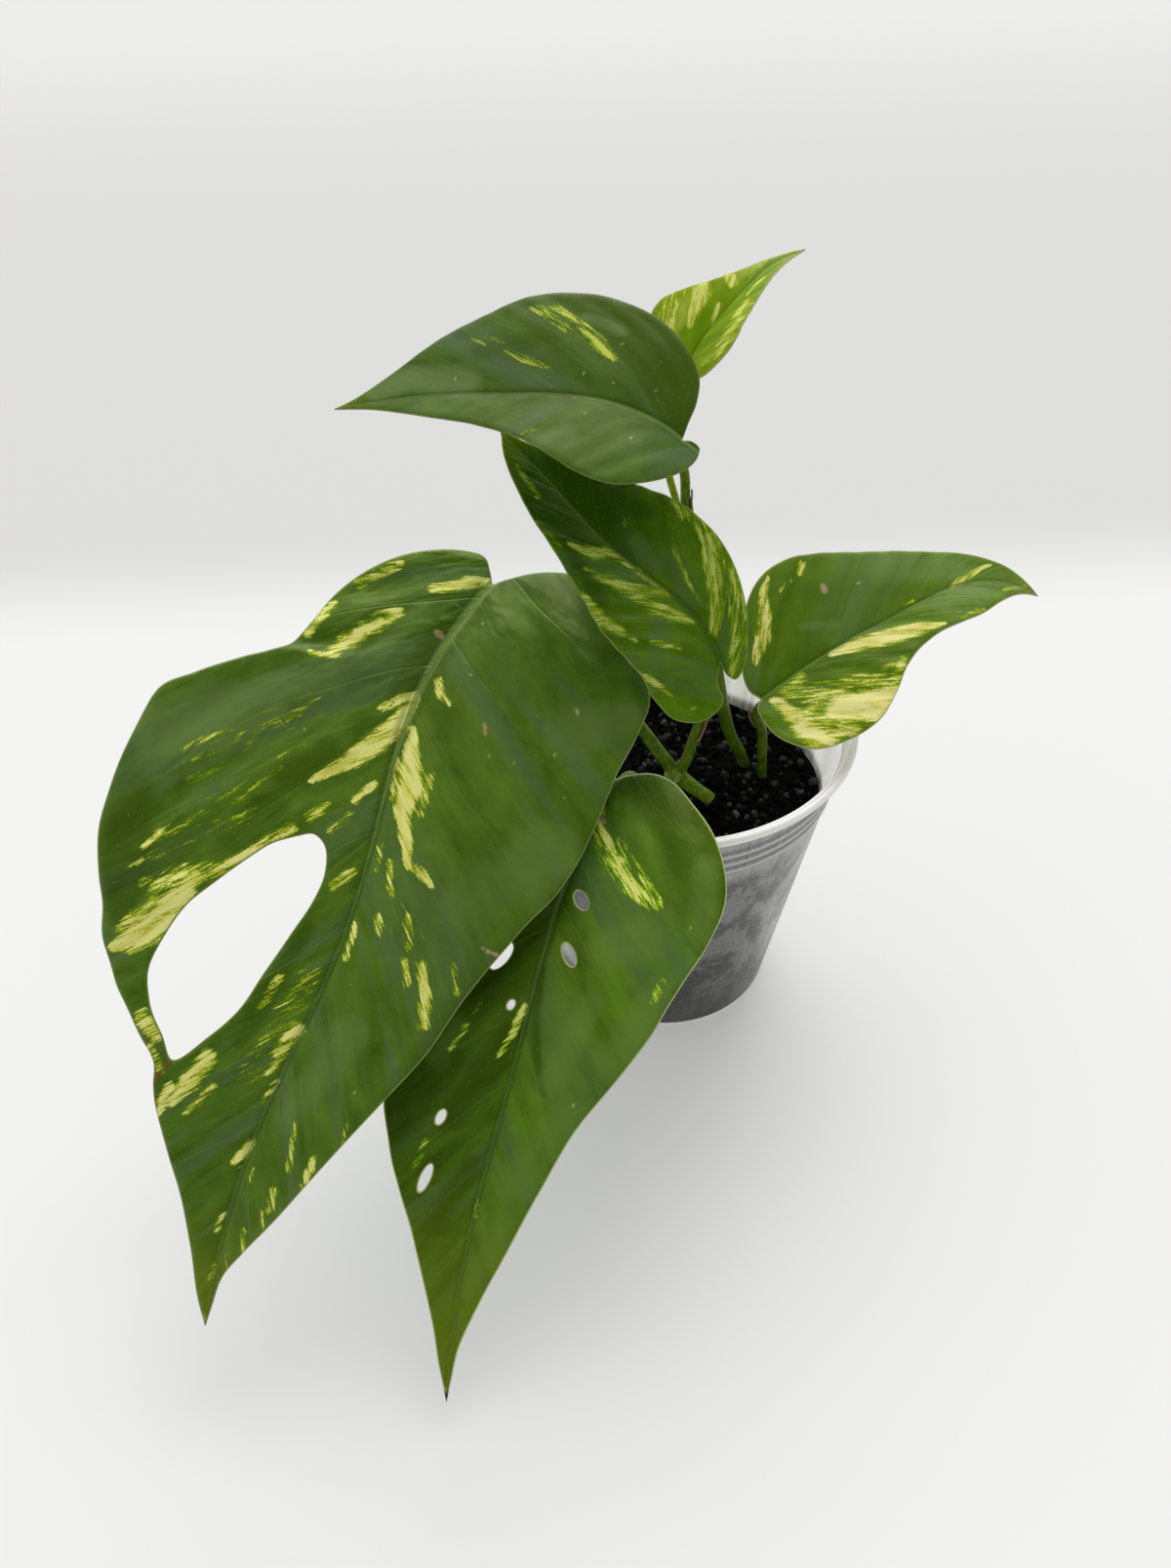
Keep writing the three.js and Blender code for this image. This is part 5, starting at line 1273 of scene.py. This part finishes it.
def build_pot(material):
    """Cup with a rolled rim, stacking rings and a floor with drain holes."""
    skin = [(BASE_RADIUS - 1.8, 0.0), (BASE_RADIUS - 0.9, 0.18), (BASE_RADIUS - 0.35, 0.6), (wall_radius(1.4), 1.4),
            (wall_radius(2.4), 2.4)]
    skin += [(wall_radius(z), z) for z in np.linspace(8, 68, 11)]
    for z in RING_HEIGHTS:
        skin += [(wall_radius(z - 1.0), z - 1.0), (wall_radius(z) + RING_PROUD * 0.7, z - 0.45),
                 (wall_radius(z) + RING_PROUD, z), (wall_radius(z) + RING_PROUD * 0.7, z + 0.4),
                 (wall_radius(z + 0.9), z + 0.9)]
    skin += [(SHOULDER_RADIUS, SHOULDER_HEIGHT), (SHOULDER_RADIUS + 0.5, 81.6), (RIM_RADIUS - 2.3, 83.4),
             (RIM_RADIUS - 1.2, 83.8), (RIM_RADIUS - 0.4, 84.2), (RIM_RADIUS, 84.8), (RIM_RADIUS - 0.1, 85.4),
             (RIM_RADIUS - 0.6, 85.9), (RIM_RADIUS - 1.2, POT_HEIGHT), (RIM_INNER_RADIUS + 0.5, 85.8),
             (RIM_INNER_RADIUS + 0.05, 85.3), (RIM_INNER_RADIUS - 0.25, 84.4), (SHOULDER_RADIUS - 0.2, 82.0),
             (SHOULDER_RADIUS - WALL, SHOULDER_HEIGHT)]
    skin += [(wall_radius(z) - WALL, z) for z in np.linspace(76, 4, 13)]
    skin += [(BASE_RADIUS - WALL - 0.4, 2.2), (BASE_RADIUS - WALL - 1.4, FLOOR)]
    points, faces = lathe(skin, POT_SEGMENTS)
    turns = [2 * math.pi * (i + 0.5) / DRAIN_HOLES for i in range(DRAIN_HOLES)]
    holes = [ellipse(DRAIN_CIRCLE * math.cos(a), DRAIN_CIRCLE * math.sin(a), DRAIN_RADIUS, DRAIN_RADIUS, 0)
             for a in turns]

    # The floor's two sides fill the skin's first and last rings, and short walls join them round each drain hole
    low = len(points)
    under, triangles = fill_flat(points[:POT_SEGMENTS, :2], holes, 3.0)
    faces += (triangles[:, ::-1] + low).tolist()
    high = low + len(under)
    over, triangles = fill_flat(points[-POT_SEGMENTS:, :2], holes, 3.0)
    faces += (triangles + high).tolist()
    for k, hole in enumerate(holes):
        first = POT_SEGMENTS + k * len(hole)
        for i in range(len(hole)):
            a, b = first + i, first + (i + 1) % len(hole)
            faces.append((low + b, low + a, high + a, high + b))
    floors = [np.column_stack([flat, np.full(len(flat), z)]) for flat, z in ((under, 0.0), (over, FLOOR))]
    piece = mesh_object("cup", np.vstack([points, *floors]), faces)
    merge_close(piece, 0.02)
    place(piece, "pot", material)


def merge_close(piece, distance):
    work = bmesh.new()
    work.from_mesh(piece.data)
    bmesh.ops.remove_doubles(work, verts=work.verts, dist=distance * MM)
    bmesh.ops.recalc_face_normals(work, faces=work.faces)
    work.to_mesh(piece.data)
    work.free()


def pot_material():
    """Milky plastic: dark soil shows through up to the soil line, and the wall above it and the rim are pale."""
    paint = Paint("cup_paint")
    step, mix, times, swing = paint.step, paint.mix, paint.times, paint.swing
    place_mm = paint.place_mm()
    px, py, pz = paint.parts(place_mm)
    radius = paint.calc("SQRT", paint.calc("ADD", times(px, px), times(py, py)))
    middle = paint.add(pz, (SHOULDER_RADIUS - BASE_RADIUS) / SHOULDER_HEIGHT, BASE_RADIUS - WALL / 2)
    outside = step(paint.less(radius, middle), -0.1, 0.1)

    # Soil behind the wall: a charcoal mottle, with milky plastic over it higher up and in one patch, painted light on
    # the lit right side, and painted shade that darkens it towards the base
    soil_line = swing(paint.noise(place_mm, 0.14, 3.0, 0.6), 9.0, pz)
    filled = step(soil_line, SOIL_HEIGHT - 2.0, SOIL_HEIGHT + 4.0, 1.0, 0.0)
    clump = paint.streaks(place_mm, (0.13, 0.13, 0.10), detail=3.0, rough=0.6)
    tone = swing(paint.noise(place_mm, 0.6, 3.0, 0.7), 3.4, step(clump, 0.40, 0.60))
    tone = times(tone, 1.0, clamp=True)
    # Painted light on the right side of the wall, which faces the light
    painted_lit_side = step(paint.add(clump, 0.5, paint.calc("DIVIDE", px, radius)), 0.70, 1.30)
    milk_and_painted_light = paint.add(painted_lit_side, 0.70, step(pz, 20, 74, 0.0, 0.20), clamp=True)
    patch = swing(clump, 14.0, paint.distance(place_mm, PALE_PATCH))
    milk_and_painted_light = paint.calc("MAXIMUM", milk_and_painted_light, step(patch, 5.0, 11.0, 1.0, 0.0))
    behind = mix(milk_and_painted_light, mix(tone, *SOIL_BEHIND), mix(tone, *MILK_OVER))
    # Painted shade towards the base, and a near-black bottom band: partly the base's edge, partly painted contact
    # shade
    behind = mix(step(pz, 3, 34, 0.7, 0.0), behind, (0.022, 0.022, 0.022))
    behind = mix(step(pz, 0.6, 2.4, 0.9, 0.0), behind, (0.010, 0.010, 0.010))

    # Empty wall with faint upright streaks
    upright = paint.put("ShaderNodeCombineXYZ")
    turned = (paint.calc("DIVIDE", px, radius), paint.calc("DIVIDE", py, radius), times(pz, 0.002))
    paint.feed(upright, {i: times(value, 20.0) for i, value in enumerate(turned)})
    streaks = paint.noise(upright.outputs[0], 1.0, 3.0, 0.6)
    clear = mix(step(streaks, 0.35, 0.7), *CLEAR_OUTSIDE)
    within = mix(step(streaks, 0.40, 0.60), *CLEAR_INSIDE)
    body = mix(times(filled, outside), mix(outside, within, clear), behind)

    # Stacking rings: painted highlights on the crests and painted shade between; a thin line round the rim; small
    # specks
    wave = paint.calc("COSINE", times(paint.less(pz, RING_HEIGHTS[0]), 2 * math.pi / RING_PITCH))
    # Painted highlight on each ring's crest and painted shade below it
    painted_ring_zone = times(times(step(pz, 68.8, 69.8), step(pz, 78.2, 79.4, 1.0, 0.0)), outside)
    body = mix(times(painted_ring_zone, step(wave, 0.55, 0.95, 0.0, 0.85)), body, (0.70, 0.70, 0.68))
    body = mix(times(painted_ring_zone, step(wave, 0.4, -0.3, 0.0, 0.7)), body, (0.19, 0.19, 0.19))
    rim = step(pz, 82.6, 83.4)
    body = mix(rim, body, (0.93, 0.92, 0.87))
    line = step(paint.calc("ABSOLUTE", paint.less(radius, 46.0)), 0.1, 0.3, 0.6, 0.0)
    body = mix(times(line, step(pz, 84.5, 85.3)), body, (0.42, 0.42, 0.40))
    speck = step(paint.noise(place_mm, 1.1, 1.0, 0.5), 0.74, 0.79)
    body = mix(times(speck, 0.45), body, (0.12, 0.09, 0.06))
    body = mix(step(paint.distance(place_mm, WALL_SPECK), 0.5, 1.3, 0.8, 0.0), body, (0.09, 0.06, 0.035))

    # Painted light: the inner wall above the soil glows as if lit through the thin wall, and the rim glows a little
    glow = mix(paint.less(1.0, outside), BLACK, (0.80, 0.79, 0.76))
    glow = mix(step(pz, SOIL_HEIGHT - 1, SOIL_HEIGHT + 1.5), BLACK, glow)
    glow = mix(rim, glow, (0.17, 0.167, 0.155))
    relief = paint.bump(paint.add(paint.noise(place_mm, 0.9, 2.0, 0.5), 0.3, streaks), 0.25, 0.3)
    rough = step(streaks, 0.3, 0.7, 0.26, 0.38)
    return paint.finished(body, rough, relief=relief, glow=glow, glow_strength=0.5)


def soil_material():
    """Black crumbly soil with charcoal granules."""
    paint = Paint("soil_paint")
    place_mm = paint.place_mm()
    grain = paint.noise(place_mm, 1.3, 3.0, 0.65)
    black = paint.mix(paint.step(grain, 0.35, 0.7), (0.0010, 0.0010, 0.0009), (0.0060, 0.0058, 0.0054))
    charcoal = paint.mix(paint.step(grain, 0.3, 0.7), (0.045, 0.045, 0.045), (0.15, 0.15, 0.15))
    colour = paint.mix(paint.attribute("shade"), black, charcoal)
    relief = paint.add(paint.noise(place_mm, 3.5, 2.0, 0.7), 0.5, grain)
    return paint.finished(colour, 0.85, relief=paint.bump(relief, 0.9, 0.5), specular=0.03)


def icosphere_parts():
    work = bmesh.new()
    bmesh.ops.create_icosphere(work, subdivisions=2, radius=1.0)
    points = np.array([tuple(v.co) for v in work.verts])
    faces = [tuple(v.index for v in f.verts) for f in work.faces]
    work.free()
    return points, faces


def soil_level(x, y):
    """Gentle heap of the soil's top, in millimetres."""
    r = math.hypot(x, y)
    return SOIL_HEIGHT - 0.9 + 0.8 * math.cos(r / 40 * 2.2) + 1.1 * noise.noise(Vector((x * 0.09, y * 0.09, 1.7)))


def build_soil(material):
    """Plug of soil under a bed of separate granules."""
    rng = np.random.default_rng(11)
    within = lambda z: wall_radius(z) - WALL - SOIL_GAP
    top = within(SOIL_HEIGHT)
    profile = [(0.01, FLOOR + SOIL_GAP), (BASE_RADIUS - WALL - 1.8, FLOOR + SOIL_GAP)]
    profile += [(within(z), z) for z in (4.0, *np.linspace(12, 63, 8))]
    profile += [(top * s, SOIL_HEIGHT - 1.0) for s in np.linspace(0.99, 0.02, 26)] + [(0.01, SOIL_HEIGHT - 1.0)]
    points, faces = lathe(profile, 96)
    for p in points:
        if p[2] > SOIL_HEIGHT - 2:
            p[2] = soil_level(p[0], p[1]) - 0.9
    shells, shade, start = [points], [np.zeros(len(points))], len(points)
    ball_points, ball_faces = icosphere_parts()
    spots = [(gx, gy) for i, gy in enumerate(np.arange(-top, top, GRANULE_SPACING * ROW))
             for gx in np.arange(-top + (i % 2) * GRANULE_SPACING / 2, top, GRANULE_SPACING)]
    for gx, gy in spots:
        gx, gy = gx + rng.uniform(-0.8, 0.8), gy + rng.uniform(-0.8, 0.8)
        size = rng.uniform(0.65, 1.45) * (0.75 if rng.random() < 0.5 else 1.0)
        if math.hypot(gx, gy) + size * 1.1 > top or rng.random() < 0.1:
            continue
        if min(math.dist((gx, gy), foot) for foot in STALK_FEET) < size + 1.6:
            continue
        squash = rng.uniform(0.7, 1.15, 3)
        shift = rng.uniform(-50, 50, 3)
        rough = np.array([1 + 0.5 * noise.noise(Vector(p * 1.5 + shift)) for p in ball_points])
        turn = np.array(Matrix.Rotation(rng.uniform(0, 6.28), 3, Vector(rng.normal(size=3))))
        lump = (ball_points * rough[:, None] * squash * size) @ turn.T
        lift = rng.uniform(-0.75, 0.35)
        shells.append(lump + (gx, gy, soil_level(gx, gy) - 0.6 + lift))
        shade.append(np.full(len(lump), max(0.0, rng.normal(0.2, 0.3)) if rng.random() < 0.42 else 0.0))
        faces.extend(tuple(k + start for k in f) for f in ball_faces)
        start += len(lump)
    piece = mesh_object("soil_bed", np.vstack(shells), faces)
    give(piece, "shade", np.clip(np.concatenate(shade), 0, 1))
    place(piece, "soil", material)


def sheath_material():
    """Dry papery sheath with darker fibres."""
    paint = Paint("sheath_paint")
    fibre = paint.streaks(paint.place_mm(), (2.6, 2.6, 0.25), detail=3.0, rough=0.65)
    colour = paint.mix(paint.step(fibre, 0.3, 0.7), (0.13, 0.065, 0.035), (0.38, 0.24, 0.15))
    return paint.finished(colour, 0.75, relief=paint.bump(fibre, 0.9, 0.3))


def build_sheaths(material):
    rows, columns = 30, 14
    for name, sheath in SHEATHS.items():
        shoot = sheath["along"] == "shoot"
        line = curve_through(SHOOT if shoot else petiole_course(sheath["along"]), 0.2)
        lengths = lengths_along(line)
        slopes = unit(np.gradient(line, axis=0))
        hold = 1.25 if shoot else PETIOLES[sheath["along"]]["radius"]
        points, faces = [], []
        for layer in (0, 1):
            for i in range(rows + 1):
                share = i / rows
                place_along = (sheath["from"] + (sheath["to"] - sheath["from"]) * share) * lengths[-1]
                centre = np.array([np.interp(place_along, lengths, line[:, k]) for k in range(3)])
                slope = unit(np.array([np.interp(place_along, lengths, slopes[:, k]) for k in range(3)]))
                east = unit(np.array((1.0, 0, 0)) - slope * slope[0])
                north = np.cross(slope, east)
                narrow = (1 - 0.75 * share ** 2) * (1 + 0.12 * math.sin(9 * share + 2))
                for j in range(columns + 1):
                    wave = 0.16 * noise.noise(Vector((share * 5, j * 0.5, 4.2)))
                    radius = hold + 0.12 + sheath["flare"] * share + 0.32 * layer + wave
                    a = math.radians(sheath["side"] + sheath["span"] * narrow * (j / columns - 0.5))
                    points.append(centre + radius * (east * math.cos(a) + north * math.sin(a)))
        at = lambda i, j, layer: (layer * (rows + 1) + i) * (columns + 1) + j
        for i in range(rows):
            for j in range(columns):
                faces.append((at(i, j, 1), at(i, j + 1, 1), at(i + 1, j + 1, 1), at(i + 1, j, 1)))
                faces.append((at(i, j, 0), at(i + 1, j, 0), at(i + 1, j + 1, 0), at(i, j + 1, 0)))
            faces.append((at(i, 0, 0), at(i, 0, 1), at(i + 1, 0, 1), at(i + 1, 0, 0)))
            faces.append((at(i, columns, 0), at(i + 1, columns, 0), at(i + 1, columns, 1), at(i, columns, 1)))
        for j in range(columns):
            faces.append((at(0, j, 0), at(0, j + 1, 0), at(0, j + 1, 1), at(0, j, 1)))
            faces.append((at(rows, j, 0), at(rows, j, 1), at(rows, j + 1, 1), at(rows, j + 1, 0)))
        place(mesh_object(name + "_fine", np.array(points), faces), name, material)


def build_stage():
    """Plain pale floor that greys a little with distance, as painted shade."""
    mesh = bpy.data.meshes.new("floor")
    corners = [(x * FLOOR_HALF, y * FLOOR_HALF, 0) for x, y in ((-1, -1), (1, -1), (1, 1), (-1, 1))]
    mesh.from_pydata(corners, [], [(0, 1, 2, 3)])
    paint = Paint("floor_paint")
    depth = paint.parts(paint.place_mm())[1]
    # Painted shade: the floor greys further back
    colour = paint.mix(paint.step(depth, 170, 260), (0.58, 0.577, 0.572), (0.468, 0.465, 0.458))
    colour = paint.mix(paint.step(depth, 700, 1800), colour, (0.53, 0.527, 0.518))
    mesh.materials.append(paint.finished(colour, 0.9, specular=0.1, glow=colour, glow_strength=FLOOR_GLOW))
    floor = link(bpy.data.objects.new("floor", mesh))


def build_light():
    """Wide soft light from above, behind and the left, in a pale room that is darker on the camera's side."""
    world = bpy.data.worlds.new("studio")
    bpy.context.scene.world = world
    world.use_nodes = True
    nodes, links = world.node_tree.nodes, world.node_tree.links
    direction = nodes.new("ShaderNodeTexCoord")
    facing = nodes.new("ShaderNodeVectorMath")
    facing.operation = "DOT_PRODUCT"
    facing.inputs[1].default_value = Vector(ROOM_BRIGHT_SIDE).normalized()
    level = nodes.new("ShaderNodeMapRange")
    level.interpolation_type = "SMOOTHSTEP"
    links.new(direction.outputs["Generated"], facing.inputs[0])
    links.new(facing.outputs["Value"], level.inputs["Value"])
    links.new(level.outputs[0], nodes["Background"].inputs["Strength"])
    for socket, number in zip(level.inputs[1:], (-0.5, 0.9, ROOM_DARK, ROOM_BRIGHT)):
        socket.default_value = number
    nodes["Background"].inputs["Color"].default_value = (0.99, 0.995, 1.0, 1)
    data = bpy.data.lights.new("overhead", "SUN")
    data.energy = OVERHEAD
    data.angle = math.radians(OVERHEAD_WIDTH)
    light = link(bpy.data.objects.new("overhead", data))
    light.rotation_euler = Vector(OVERHEAD_FROM).to_track_quat("Z", "Y").to_euler()


def build_camera():
    data = bpy.data.cameras.new("camera")
    data.lens = LENS_MM
    data.sensor_width = SENSOR_MM
    data.clip_start = 0.01
    data.clip_end = 50
    down, roll = math.radians(CAMERA_DOWN), math.radians(CAMERA_ROLL)
    forward = Vector((0, math.cos(down), -math.sin(down)))
    right = Vector((1, 0, 0))
    up = right.cross(forward)
    turned_right = right * math.cos(roll) + up * math.sin(roll)
    turned_up = up * math.cos(roll) - right * math.sin(roll)
    matrix = Matrix((turned_right, turned_up, -forward)).transposed().to_4x4()
    matrix.translation = Vector(CAMERA_AT) * MM
    camera = link(bpy.data.objects.new("camera", data))
    camera.matrix_world = matrix
    bpy.context.scene.camera = camera


build_camera()
build_light()
build_stage()
bpy.context.scene.view_settings.view_transform = "Standard"
build_pot(pot_material())
build_soil(soil_material())
build_stems()
build_petioles()
for leaf_name in LEAVES:
    build_leaf(leaf_name, leaf_material(leaf_name))
build_sheaths(sheath_material())
